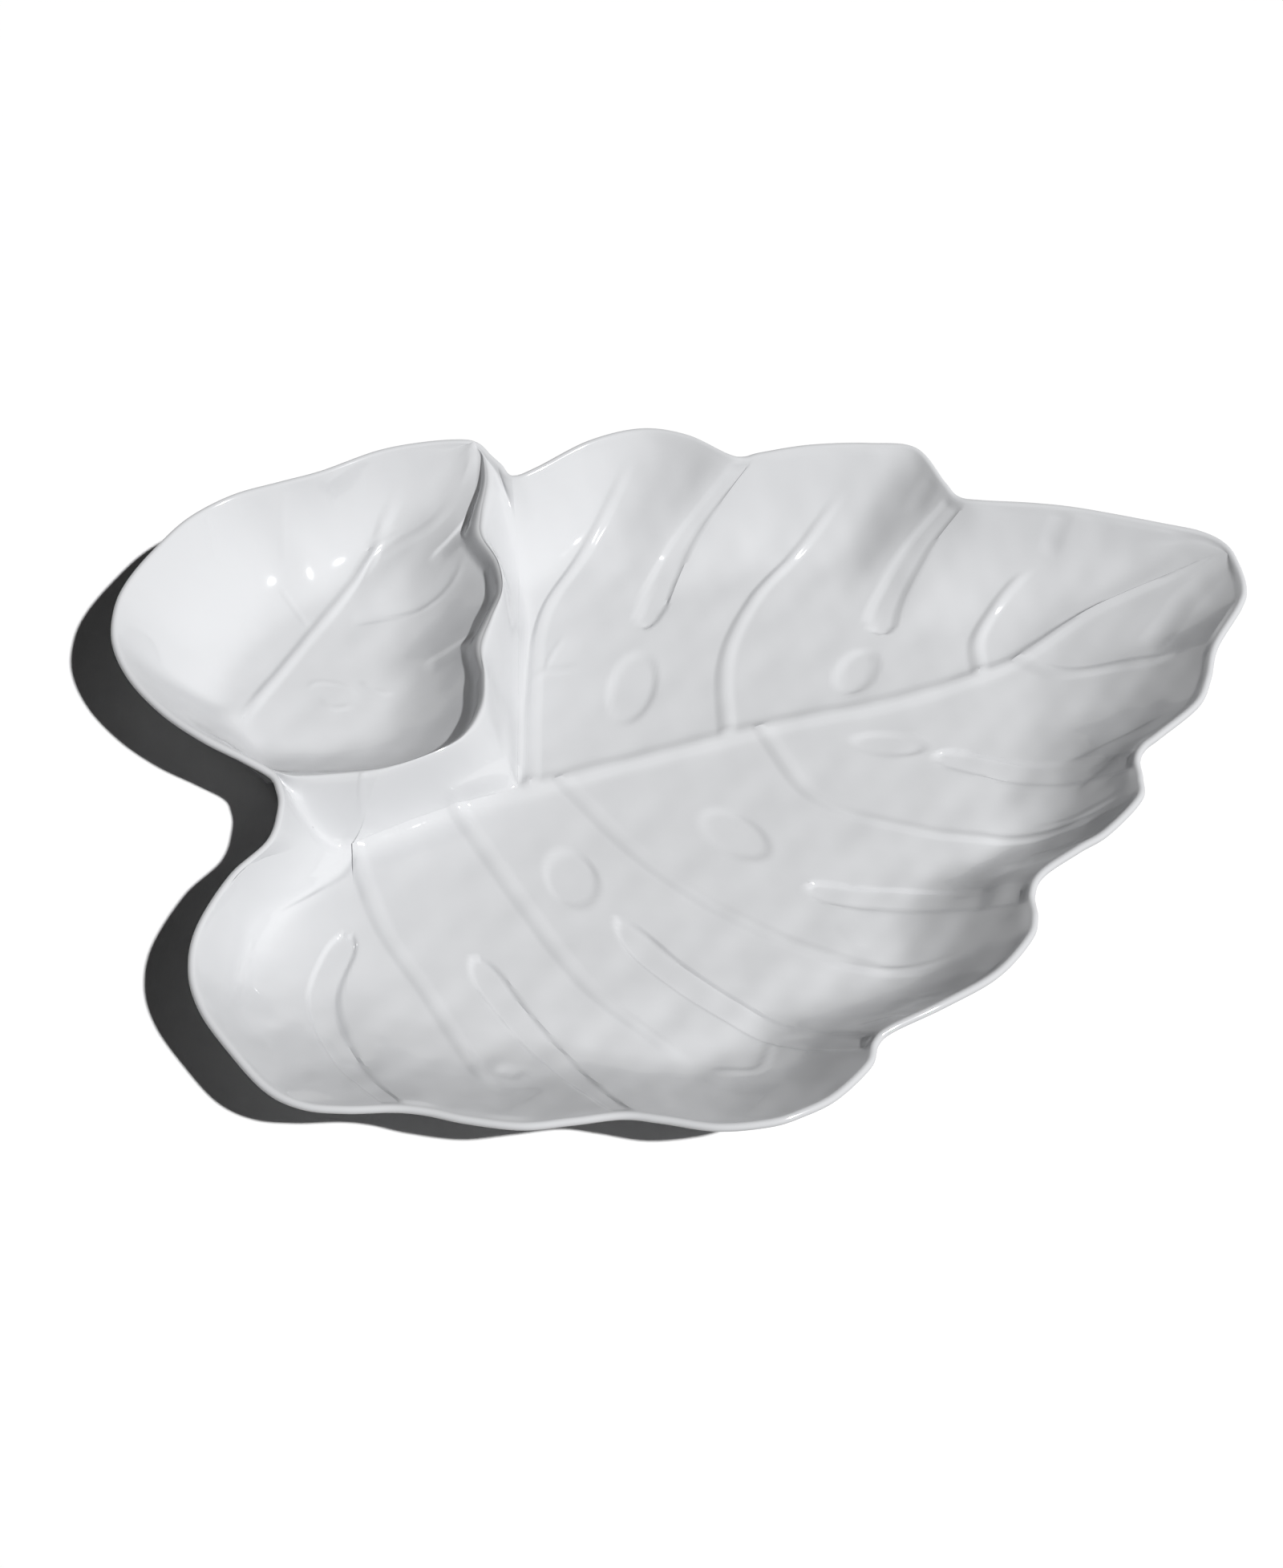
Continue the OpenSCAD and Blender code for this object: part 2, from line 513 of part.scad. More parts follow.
// The foot rings meet the flat underside of the two floors
module large_foot_ring() {
    function oval(l, w) = [for (a = [0:5:355]) [l / 2 * cos(a), w / 2 * sin(a)]];
    color("white")
        translate(place(large_foot_share, 0))
            rotate(large_foot_turn)
                linear_extrude(foot_h)
                    difference() {
                        polygon(oval(large_foot_l, large_foot_w));
                        polygon(oval(large_foot_l - 2 * foot_t, large_foot_w - 2 * foot_t));
                    }
}
module small_foot_ring() {
    color("white")
        translate(place(small_foot_share, 0))
            difference() {
                cylinder(d = small_foot_d, h = foot_h, $fn = 72);
                translate([0, 0, -foot_h])
                    cylinder(d = small_foot_d - 2 * foot_t, h = 3 * foot_h, $fn = 72);
            }
}

large_leaf();
small_leaf();
divider();
large_foot_ring();
small_foot_ring();
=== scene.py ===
# %% [markdown]
# # A leaf shaped serving plate in glossy white melamine
# The real plate is one moulding: a large lobed leaf to serve from, a small leaf bowl for the
# dip, a steep divider between them and two foot rings below. The five CAD solids hold the
# true sizes, and each gets a piece here that follows the same curves with far more points,
# so that the gloss runs smoothly and every vein catches the light. The imported model is
# loaded first.

# %% Load the imported model
from math import acos, atan2, ceil, cos, pi, radians, sin
import bpy
import numpy as np
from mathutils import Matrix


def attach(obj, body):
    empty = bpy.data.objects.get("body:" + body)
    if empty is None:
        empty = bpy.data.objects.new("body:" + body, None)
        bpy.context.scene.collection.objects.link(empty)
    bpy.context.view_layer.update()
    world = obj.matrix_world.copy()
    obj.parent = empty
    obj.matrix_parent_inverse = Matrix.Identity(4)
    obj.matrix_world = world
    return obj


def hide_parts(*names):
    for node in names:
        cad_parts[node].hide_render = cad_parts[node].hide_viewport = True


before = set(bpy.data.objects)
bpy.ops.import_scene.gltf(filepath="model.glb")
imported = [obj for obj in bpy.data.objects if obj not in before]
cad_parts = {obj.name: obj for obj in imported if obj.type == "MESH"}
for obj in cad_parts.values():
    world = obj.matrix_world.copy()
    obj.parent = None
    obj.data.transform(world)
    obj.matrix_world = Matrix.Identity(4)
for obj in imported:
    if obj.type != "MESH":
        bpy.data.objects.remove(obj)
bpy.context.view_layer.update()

# %% [markdown]
# ## Sizes
# A plate maker's drawing starts from a few sizes: how long, how wide, how high the rim and
# how thick the wall. All lengths below are millimetres and become metres only when a mesh
# is made. Places on the plate are shares of its length and width, in thousandths, so that
# the whole drawing follows those few sizes.

# %% Driving sizes in millimetres
PLATE_L, PLATE_W, RIM_H, WALL_T = 462, 341, 40, 3.2
LARGE_DISH_W, SMALL_DISH_W = 58, 44
DIVIDER_H, BAND_H = 37, 9
MIDRIB_W, MIDRIB_RISE = 8, 1.6
VEIN_W, VEIN_RISE = 5, 1
SLIT_W, SLIT_SINK, OVAL_SINK = 12, 1.3, 1.1
FOOT_H, FOOT_T = 3, 4
LARGE_FOOT, SMALL_FOOT_D = (180, 106), 42
FLOOR_Z = FOOT_H + WALL_T
print("plate", PLATE_L, "x", PLATE_W, "mm, rim", RIM_H, "mm high, wall", WALL_T, "mm")

# %% The outline: x, y in thousandths, height in hundredths of the rim's
OUTLINE_SHARES = [
    (-350, -44, 101), (-343, -61, 100), (-340, -87, 100), (-346, -131, 100),
    (-374, -179, 100), (-396, -248, 100), (-398, -304, 100), (-385, -354, 100),
    (-358, -405, 100), (-328, -450, 100), (-298, -471, 100), (-264, -476, 100),
    (-228, -474, 99),
    (-203, -478, 100), (-172, -489, 102), (-128, -498, 104), (-89, -491, 102),
    (-51, -483, 100),
    (-21, -489, 102), (21, -500, 105), (61, -495, 105), (86, -483, 104),
    (114, -461, 102), (142, -421, 100),
    (149, -393, 98),
    (161, -378, 100), (203, -349, 102), (247, -311, 101), (277, -263, 100), (284, -233, 99),
    (284, -202, 96),
    (293, -178, 99), (324, -147, 100), (350, -123, 100), (381, -76, 100), (385, -45, 98),
    (385, -18, 96),
    (391, -2, 98), (405, 14, 99), (441, 58, 100), (455, 97, 100), (466, 146, 100),
    (493, 207, 100),
    (500, 238, 100),
    (497, 276, 100), (489, 306, 100), (469, 327, 100), (434, 341, 100), (364, 365, 100),
    (321, 374, 100), (272, 381, 98),
    (253, 389, 96),
    (242, 410, 98), (218, 466, 100), (175, 475, 100), (119, 472, 100), (73, 461, 98),
    (57, 456, 96),
    (43, 459, 98), (6, 489, 100), (-37, 500, 100), (-86, 479, 100), (-134, 438, 96),
    (-155, 425, 95),
    (-165, 440, 98), (-175, 453, 101),
    (-186, 468, 105),
    (-201, 472, 108), (-237, 468, 108), (-280, 453, 108), (-330, 419, 108),
    (-366, 401, 108), (-408, 379, 108), (-445, 342, 108), (-471, 294, 108),
    (-492, 241, 108), (-500, 196, 108), (-497, 144, 108), (-478, 90, 108),
    (-446, 40, 108), (-409, 1, 108), (-374, -25, 105),
]
STALK_AT, CORNER_AT = 63, 66
OUTLINE_N = len(OUTLINE_SHARES)

# The divider's crest between its two ends, in hundredths of the divider's height
CREST_SHARES = [
    (-327, -40, 103), (-287, -33, 100), (-253, -26, 100), (-220, -9, 100), (-190, 18, 100),
    (-175, 63, 100), (-174, 110, 100), (-178, 153, 100), (-170, 196, 100), (-161, 240, 100),
    (-166, 284, 100), (-182, 327, 100), (-183, 362, 100), (-179, 413, 103), (-182, 448, 108),
]
CREST_N = len(CREST_SHARES) + 1
CREST_STALK, CREST_BEND = 3, 5.8
# Over so many places the crest runs into the lip, and the bowl's band begins and ends
CREST_RUNS_IN, BAND_BEGINS, BAND_ENDS = 0.6, 5, 3
print("outline points:", OUTLINE_N, "crest points:", len(CREST_SHARES))

# %% [markdown]
# ## The lines of a leaf
# Veins and slits of a leaf all run from the midrib out to the rim. The drawing holds them as
# lines, each with its place on the outline, its place on the midrib and three points in
# between. Everything else on the leaf lies between two neighbouring lines, so the mesh can
# flow along the veins as the real relief does.

# %% Midribs and lines of both leaves
MIDRIB_SHARES = [(-284, -74), (-193, -17), (-99, 26), (-3, 67), (92, 107),
                 (189, 140), (282, 189), (367, 259), (463, 293)]
BOWL_RIB_SHARES = [(-393, 108), (-371, 162), (-348, 216), (-325, 270), (-302, 324),
                   (-280, 370), (-246, 396), (-222, 425), (-204, 452)]
PLAIN, VEIN, SLIT = 0, 1, 2
# Place on the outline, place on the midrib, kind, where a vein ends or a slit begins, points
TIP_LINE = (44.5, 1, PLAIN, 0, (471, 293), (479, 293), (487, 292))
NEAR_LINES = [
    (0, 0, PLAIN, 0, (-301, -75), (-316, -71), (-329, -60)),
    (3, 0, PLAIN, 0, (-299, -88), (-315, -102), (-330, -117)),
    (8, 0, PLAIN, 0, (-313, -157), (-359, -223), (-366, -314)),
    (12, 0, SLIT, 0.28, (-281, -182), (-299, -284), (-271, -384)),
    (15, 0, VEIN, 0.84, (-254, -185), (-207, -286), (-165, -391)),
    (17, 0.05, SLIT, 0.39, (-199, -162), (-154, -273), (-99, -375)),
    (20, 0.12, VEIN, 0.76, (-140, -146), (-78, -268), (4, -368)),
    (24, 0.18, SLIT, 0.38, (-88, -112), (-23, -228), (61, -316)),
    (28, 0.24, VEIN, 0.86, (-30, -98), (62, -188), (166, -246)),
    (30, 0.35, SLIT, 0.49, (43, -35), (109, -128), (202, -153)),
    (34, 0.47, VEIN, 0.94, (117, -6), (203, -51), (295, -67)),
    (36, 0.62, SLIT, 0.27, (221, 67), (279, 37), (339, 10)),
    (41, 0.78, VEIN, 0.78, (340, 176), (390, 170), (430, 160)),
    TIP_LINE,
]
FAR_LINES = [
    (63, 0.19, PLAIN, 0, (-146, 135), (-148, 240), (-150, 340)),
    (60, 0.205, VEIN, 0.96, (-134, 146), (-127, 275), (-83, 390)),
    (57, 0.31, SLIT, 0.46, (-41, 159), (-29, 272), (-1, 377)),
    (54, 0.43, VEIN, 0.9, (39, 203), (69, 306), (121, 391)),
    (51, 0.6, SLIT, 0.37, (179, 207), (187, 283), (215, 348)),
    (48, 0.73, VEIN, 0.7, (268, 236), (292, 288), (327, 327)),
    (46, 0.9, PLAIN, 0, (410, 285), (432, 302), (452, 316)),
    TIP_LINE,
]
BOWL_NEAR_LINES = [
    (0, 0, PLAIN, 0, (-382, 70), (-371, 32), (-360, -6)),
    (4, 0.1, PLAIN, 0, (-345, 120), (-298, 80), (-255, 35)),
    (7.7, 0.34, PLAIN, 0, (-306, 192), (-263, 176), (-220, 164)),
    (10, 0.4, PLAIN, 0, (-300, 244), (-254, 252), (-207, 250)),
    (12, 0.62, PLAIN, 0, (-282, 336), (-249, 338), (-216, 336)),
    (16, 1, PLAIN, 0, (-199, 456), (-195, 460), (-191, 464)),
]
BOWL_FAR_LINES = [
    (82, 0, PLAIN, 0, (-382, 70), (-371, 32), (-360, -6)),
    (77, 0.05, PLAIN, 0, (-415, 125), (-443, 134), (-470, 140)),
    (72, 0.4, PLAIN, 0, (-350, 290), (-370, 322), (-390, 352)),
    (69, 0.72, PLAIN, 0, (-277, 395), (-278, 415), (-279, 434)),
    (66, 1, PLAIN, 0, (-199, 456), (-195, 460), (-191, 464)),
]
# Sunk ovals: centre, length and width in thousandths of the plate's length, and their turn
OVAL_SHARES = [
    (-45, 161, 80, 40, -103), (157, 186, 54, 32, -120), (181, 75, 62, 24, -6),
    (44, -56, 67, 38, -39), (-96, -118, 60, 42, -69),
]
# Folds: height in mm, width in mm to the left and to the right of the way it runs, points
FOLDS = [
    # The bowl: folds from its two notches, the fork of its midrib and an old gate mark
    (-1.0, 8, 2.2, (-183, 396), (-193, 381), (-202, 365), (-213, 350), (-223, 340), (-232, 329)),
    (-0.5, 2, 8, (-198, 325), (-208, 303), (-217, 291), (-229, 284), (-246, 276), (-289, 265),
     (-302, 262)),
    (0.5, 2, 2.2, (-196, 325), (-203, 307), (-212, 294), (-223, 284), (-238, 276), (-259, 272),
     (-292, 264)),
    (-0.9, 8, 2.2, (-176, 196), (-186, 191), (-197, 188), (-212, 183), (-223, 181), (-233, 176)),
    (0.9, 3.4, 3.4, (-300, 325), (-286, 355), (-282, 372), (-276, 394), (-270, 407), (-258, 428)),
    (0.4, 4, 4, (-290, 355), (-265, 367), (-248, 374), (-234, 381), (-222, 393), (-205, 420)),
    (0.3, 2, 2, (-336, 155), (-330, 167), (-317, 168), (-301, 160), (-288, 140)),
    (0.3, 2, 2, (-324, 146), (-314, 130), (-304, 129), (-292, 136)),
    (0.4, 2, 2, (-290, 172), (-276, 157), (-258, 148)),
    (0.3, 2, 2, (-370, 310), (-354, 283), (-338, 250)),
    (0.4, 2, 2, (-431, 360), (-427, 335), (-425, 322), (-420, 305)),
    (0.4, 2, 2, (-303, 436), (-316, 415), (-322, 406), (-317, 392)),
    (0.2, 2.5, 2.5, (-360, 400), (-365, 367), (-364, 325)),
    # The divider: its small ridges
    (0.5, 1.6, 3, (-275, -60), (-274, -45), (-270, -30)),
    (0.3, 1.5, 1.5, (-297, -57), (-276, -57), (-250, -49)),
    (0.5, 2, 2, (-172, 430), (-158, 410), (-154, 403), (-151, 380)),
    (0.3, 2.5, 2.5, (-170, 315), (-149, 366), (-128, 398)),
    # The leaf's far half
    (0.4, 2, 2, (-140, 168), (-123, 185), (-109, 188), (-88, 193)),
    (0.3, 2, 2, (-126, 178), (-117, 213), (-106, 240)),
    (-0.8, 6, 6, (349, 372), (342, 352), (332, 325)),
    (-0.7, 6, 6, (242, 425), (232, 414), (221, 404), (208, 380)),
    (-0.6, 8, 8, (482, 290), (475, 280), (465, 268), (452, 258)),
    # The leaf's near half: folds from its notches, and the vein of its first lobe
    (-0.6, 7, 7, (475, 256), (451, 248), (436, 222), (421, 200), (410, 185)),
    (0.7, 3, 7, (315, 24), (346, 28), (359, 32), (378, 38), (398, 48), (420, 58)),
    (0.5, 3, 6, (335, -24), (346, -16), (356, -9), (366, -2), (384, 8)),
    (0.5, 6, 7, (250, -205), (254, -188), (258, -171), (266, -157), (296, -138)),
    (0.4, 2.5, 1.8, (298, -52), (314, -55), (332, -58), (348, -56), (370, -54)),
    (0.4, 1.8, 2.5, (105, -228), (129, -235), (156, -243), (182, -244), (201, -245), (230, -243)),
    (0.3, 1.5, 1.5, (125, -180), (137, -198), (151, -214)),
    (0.6, 2.2, 2.2, (15, -374), (31, -377), (47, -380), (59, -376), (67, -347), (71, -330)),
    (-0.6, 5, 1.8, (155, -396), (142, -385), (129, -363), (105, -346), (87, -338), (70, -335)),
    (-0.4, 1.8, 5, (190, -366), (177, -360), (161, -346), (143, -343), (125, -343)),
    (-0.7, 5, 5, (-152, -380), (-143, -386), (-132, -392)),
    (-0.7, 3.2, 3.2, (-279, -66), (-283, -83), (-292, -108), (-315, -134), (-340, -161),
     (-360, -192)),
    (-1.1, 2.8, 2.8, (-303, -121), (-315, -134), (-340, -161), (-360, -192), (-367, -245),
     (-367, -300), (-366, -340)),
]
print("folds:", len(FOLDS))
print("lines:", len(NEAR_LINES) + len(FAR_LINES), "on the leaf,",
      len(BOWL_NEAR_LINES) + len(BOWL_FAR_LINES), "on the bowl")

# %% Shares of the mesh and how the walls are drawn
UNDER_SHARES = np.array([0, 0.12, 0.24, 0.36, 0.48, 0.6, 0.71, 0.81, 0.895, 0.955, 1])
BOWL_UNDER_SHARES = np.array([0, 0.15, 0.32, 0.48, 0.63, 0.77, 0.89, 1])
DISH_POWER, RIB_POWER, BAND_POWER, STEEPEST, CROWN_SHARE = 2, 1.6, 0.9, 2.1, 1.7
# Places tried on a midrib and on the rim when stations are spread evenly
RIB_PLACES, RIM_PLACES = 6001, 4001
# The large leaf's wall is wider by these factors at places on the outline
DISH_W_SHARES = np.array([(0, 1.1), (4, 1.3), (8, 1.5), (13, 1.4), (17, 1.1), (20, 1), (24, 0.95),
                          (30, 1), (34, 0.9), (37, 1), (41, 1.3), (44, 1.2), (48, 1), (63, 1)])
# At places on the outline the wall's upper side swells by a share of its height, and turns
# out by so many mm below the rim
SWELLS = np.array([(0, 0.6), (17, 0.6), (22, 0.5), (43, 0.5), (48, 0.6), (63, 0.6)])
TURN_OUTS = np.array([(0, 0.3), (17, 0.3), (22, 0), (43, 0), (48, 0.3), (63, 0.3)])
BOWL_SWELL, BOWL_TURN_OUT, TURN_OUT_AT = 0.6, 1, 5
# How wide the bowl's steep band is at places on the crest, in mm, and on the lower side
BAND_WIDTHS = np.array([(0, 3.6), (5, 3.6), (7, 3.4), (8.3, 6), (9, 5), (10, 4), (11, 4.2),
                        (12, 6), (12.6, 6), (13.2, 5), (14, 4), (16, 3)])
UNDER_BAND_W = 4.6
# Rings across the midrib's edge reach at most this share of a station, and the others
# stand closer towards the rim
INNER, MOST_FIRST, CLOSER = 4, 0.3, 0.1
LIP_TILT = radians(50)
LIP_TURNS = np.radians(np.linspace(0, 180, 9))
LARGE_RIB_RISE, BOWL_RIB_RISE = (0.76, 0.95), (0.48, 0.96)
# Where on the midrib its relief ends, and how quickly it fades out there
LARGE_RIB_END, LARGE_RIB_FADE = 1, 16
BOWL_RIB_END, BOWL_RIB_FADE, BOWL_RIB_START = 0.72, 10, 9
LIP_IN = WALL_T / 2 * (1 + sin(LIP_TILT))
LIP_DROP = WALL_T / 2 * (1 - cos(LIP_TILT))
print("lip edge lies", round(LIP_IN, 2), "mm inside the outline")

# %% [markdown]
# ## Curves
# A smooth curve through listed points needs no handles if each stretch looks at the
# two points on either side of it. The helpers work on whole arrays at once, which keeps a
# mesh of a hundred thousand points quick.

# %% Small helpers and the curve through points
def clamp01(x):
    return np.clip(x, 0, 1)


def smooth(x):
    c = clamp01(x)
    return c * c * (3 - 2 * c)


def between(x, start, end):
    """A smooth step from 0 at start to 1 at end."""
    return smooth((x - start) / (end - start))


def bump(x):
    return (1 - clamp01(np.abs(x)) ** 2) ** 2


def mix(a, b, f):
    return a + (b - a) * f


def span(v):
    return np.linalg.norm(v, axis=-1)


def place(shares, height=1.0):
    """Share points in millimetres; a third number is a height in hundredths."""
    pts = np.array([p[:3] for p in shares], float)
    pts[:, 0] *= PLATE_L / 1000
    pts[:, 1] *= PLATE_W / 1000
    if pts.shape[1] == 3:
        pts[:, 2] *= height / 100
    return pts


def blend4(a, b, c, d, t):
    return 0.5 * (2 * b + (c - a) * t + (2 * a - 5 * b + 4 * c - d) * t ** 2
                  + (3 * b - a - 3 * c + d) * t ** 3)


def along(points, s):
    """Points at places s on an open list of points."""
    last = len(points) - 1
    i = np.clip(np.floor(s), 0, last - 1).astype(int)
    ends = np.vstack([2 * points[0] - points[1], points, 2 * points[last] - points[last - 1]])
    return blend4(*(ends[i + k] for k in range(4)), (s - i)[..., None])


print("halfway up a smooth step:", smooth(np.array([0.5])))

# %% The outline, the rounded lip and the crest
OUTLINE = place(OUTLINE_SHARES, RIM_H)


def outline(s):
    q = np.mod(s, OUTLINE_N)
    i = np.floor(q).astype(int)
    a, b, c, d = (OUTLINE[(i + k) % OUTLINE_N] for k in (-1, 0, 1, 2))
    return blend4(a, b, c, d, (q - i)[..., None])


def outward(s):
    d = (outline(s + 0.1) - outline(s - 0.1))[..., :2]
    n = np.stack([d[..., 1], -d[..., 0]], axis=-1)
    return n / np.linalg.norm(n, axis=-1, keepdims=True)


def lip_pt(s, turn):
    """Round the lip: turn 0 is its inner edge, half a turn its lower outer edge."""
    o, n, r = outline(s), outward(s), WALL_T / 2
    over, down = sin(LIP_TILT), cos(LIP_TILT)
    side = over - over * np.cos(turn) + down * np.sin(turn)
    up = -down + down * np.cos(turn) + over * np.sin(turn)
    flat = o[..., :2] + n * (r * side - LIP_IN)[..., None]
    return np.concatenate([flat, (o[..., 2] - LIP_DROP + r * up)[..., None]], axis=-1)


def lip_edge(s):
    return lip_pt(s, np.zeros_like(s))


one = np.ones(1)
CREST = np.vstack([lip_edge(0 * one), place(CREST_SHARES, DIVIDER_H), lip_edge(CORNER_AT * one)])


def crest(c):
    return along(CREST, c)


def crest_under(c):
    """The lower side of the crest, which runs into the lip at both ends."""
    under = crest(c) - np.array([0, 0, CROWN_SHARE * WALL_T])
    first = lip_pt(0 * one, pi * one)
    last = lip_pt(CORNER_AT * one, pi * one)
    under = mix(first, under, smooth(c / CREST_RUNS_IN)[..., None])
    return mix(last, under, smooth((CREST_N - c) / CREST_RUNS_IN)[..., None])


rim_steps = outline(np.arange(0, OUTLINE_N, 0.1))
print("rim length in mm:", round(span(np.diff(rim_steps, axis=0)).sum()))

# %% [markdown]
# ## Stations
# A station is one section of a leaf from its midrib out to the rim. Between two lines a
# station mixes both, and its ends are pulled onto the true midrib and the true rim. Near
# and far halves share their places on the midrib, so that they can be welded there.

# %% A leaf's stations and the points on them
def leaf_half(rib_shares, lines, on_crest):
    rib = place(rib_shares)
    starts = np.array([line[0] for line in lines], float)
    ribs = np.array([line[1] for line in lines], float)
    ends = crest(starts) if on_crest else lip_edge(starts)
    roots = along(rib, ribs * (len(rib) - 1))
    pts = np.stack([np.vstack([roots[k], place(line[4:7]), ends[k, :2]])
                    for k, line in enumerate(lines)])
    before, after = 2 * pts[:, :1] - pts[:, 1:2], 2 * pts[:, 4:] - pts[:, 3:4]
    return {"rib": rib, "starts": starts, "ribs": ribs, "on_crest": on_crest, "pts": pts,
            "long": np.concatenate([before, pts, after], axis=1),
            "kind": np.array([line[2] for line in lines]),
            "share": np.array([line[3] for line in lines], float)}


def line_at(half, i, r):
    """Points at shares r of the lines number i."""
    k = np.clip(np.floor(r * 4), 0, 3).astype(int)
    return blend4(*(half["long"][i[:, None], k + n] for n in range(4)), (r * 4 - k)[..., None])


def stations(half, s):
    starts, ribs, pts = half["starts"], half["ribs"], half["pts"]
    way = 1 if starts[-1] > starts[0] else -1
    i = np.clip(np.searchsorted(way * starts, way * s, side="right") - 1, 0, len(starts) - 2)
    f = (s - starts[i]) / (starts[i + 1] - starts[i])
    m = mix(ribs[i], ribs[i + 1], f)
    root = along(half["rib"], m * (len(half["rib"]) - 1))
    end = crest(s) if half["on_crest"] else lip_edge(s)
    st = {"half": half, "s": s, "i": i, "f": f, "m": m, "root": root, "end": end,
          "root_off": root - mix(pts[i, 0], pts[i + 1, 0], f[:, None]),
          "end_off": end[:, :2] - mix(pts[i, 4], pts[i + 1, 4], f[:, None])}
    reach = points_at(st, np.tile(np.linspace(0, 1, 9), (len(s), 1)))
    st["length"] = span(np.diff(reach, axis=1)).sum(axis=1)
    return st


def points_at(st, r):
    half, i = st["half"], st["i"]
    between = mix(line_at(half, i, r), line_at(half, i + 1, r), st["f"][:, None, None])
    return (between + ((1 - r) ** 2)[..., None] * st["root_off"][:, None]
            + (r ** 2)[..., None] * st["end_off"][:, None])


def crowding(half, s, reach=14):
    """Stations stand closer where a vein or slit lies within reach millimetres, by this much."""
    end = crest if half["on_crest"] else outline
    more = np.zeros(len(s))
    for start in half["starts"][half["kind"] != PLAIN]:
        away = span((end(s) - end(start * one))[:, :2])
        more = np.maximum(more, bump(away / reach))
    return 1 + more


def shared_places(near, far, from_m, step):
    """Places on the midrib, close enough for both rims to be stepped at most step apart."""
    m = np.linspace(from_m, 1, RIB_PLACES)
    speed = np.zeros(len(m) - 1)
    for half in (near, far):
        s = place_of(half, m)
        rim = (crest if half["on_crest"] else outline)(s)
        speed = np.maximum(speed, span(np.diff(rim, axis=0)) * crowding(half, s)[1:])
    run = np.concatenate([[0], np.cumsum(speed)])
    count = int(ceil(run[-1] / step))
    return np.interp(np.linspace(0, run[-1], count + 1), run, m)


def place_of(half, m):
    """The place on the outline of the station that leaves the midrib at m."""
    keep = np.concatenate([half["ribs"][:-1] < half["ribs"][1:], [True]])
    return np.interp(m, half["ribs"][keep], half["starts"][keep])


near_half = leaf_half(MIDRIB_SHARES, NEAR_LINES, False)
far_half = leaf_half(MIDRIB_SHARES, FAR_LINES, False)
bowl_near = leaf_half(BOWL_RIB_SHARES, BOWL_NEAR_LINES, True)
bowl_far = leaf_half(BOWL_RIB_SHARES, BOWL_FAR_LINES, False)
near_lengths = stations(near_half, np.arange(0, 44.5, 0.5))["length"]
print("longest line of the leaf in mm:", round(near_lengths.max()))

# %% [markdown]
# ## Relief
# The mould presses five things into the leaf: a raised midrib, raised veins, sunk slits that
# run in from the notches, sunk ovals beside the midrib, and small folds such as a real leaf
# has between its veins. Each is a small height added to the smooth dish, so edges stay soft
# as they are in moulded melamine. A faint waviness of a few tenths of a millimetre, stronger
# on the wall than on the floor, breaks the highlights as on the real plate.

# %% How the relief runs out, in mm or in shares of a line
SLIT_WALL, SLIT_OPENING, SLIT_NARROWS, SLIT_AT_RIM = SLIT_W / 6.5, 0.09, 0.6, 0.62
VEIN_RUN_OUT, VEIN_AT_RIM = 0.12, 0.8
OVAL_EDGE, OVAL_STEEP = 1.15, 3
FOLD_RUN_OUT, FOLD_STEPS = 0.25, 5
# The midrib's half width at the stalk and at the tip, and its height at the tip
RIB_WIDTHS, RIB_AT_TIP = (0.75, 0.6), 0.75
# The bowl's relief is lower and narrower by a factor, and a bead edges its dish
BOWL_RELIEF, BEAD_H, BEAD_W = 0.7, 0.6, 1.6
print("slit walls", round(SLIT_WALL, 2), "mm wide")

# %% Heights of veins, slits, ovals, midrib, folds and waves
def line_relief(st, p, r):
    """The veins and slits on both sides of a station."""
    half, rise = st["half"], np.zeros(p.shape[:-1])
    for i in (st["i"], st["i"] + 1):
        d = span(p - line_at(half, i, r))
        kind, share = half["kind"][i][:, None], half["share"][i][:, None]
        begun = clamp01((r - share) / SLIT_OPENING)
        narrowed = mix(1, SLIT_AT_RIM, between(r, SLIT_NARROWS, 1))
        wide = SLIT_W / 2 * np.sqrt(begun * (2 - begun)) * narrowed
        slit = -SLIT_SINK * smooth((wide - d) / SLIT_WALL + 0.5) * (r > share)
        vein = VEIN_RISE * bump(d / (VEIN_W * mix(1, VEIN_AT_RIM, r)))
        vein *= smooth((share - r) / VEIN_RUN_OUT)
        rise += vein * (kind == VEIN) + slit * (kind == SLIT)
    return rise


def oval_relief(p):
    rise = np.zeros(p.shape[:-1])
    for x, y, long, wide, turn in OVAL_SHARES:
        q, a = (p - place([(x, y)])[0]) * 2000 / PLATE_L, radians(turn)
        u = (q[..., 0] * cos(a) + q[..., 1] * sin(a)) / long
        v = (q[..., 1] * cos(a) - q[..., 0] * sin(a)) / wide
        rise -= OVAL_SINK * smooth((OVAL_EDGE - np.hypot(u, v)) * OVAL_STEEP)
    return rise


def rib_relief(st, p, size=1):
    m = st["m"][:, None]
    d = span(p - st["root"][:, None])
    return MIDRIB_RISE * mix(1, RIB_AT_TIP, m) * bump(d / (MIDRIB_W * size * mix(*RIB_WIDTHS, m)))


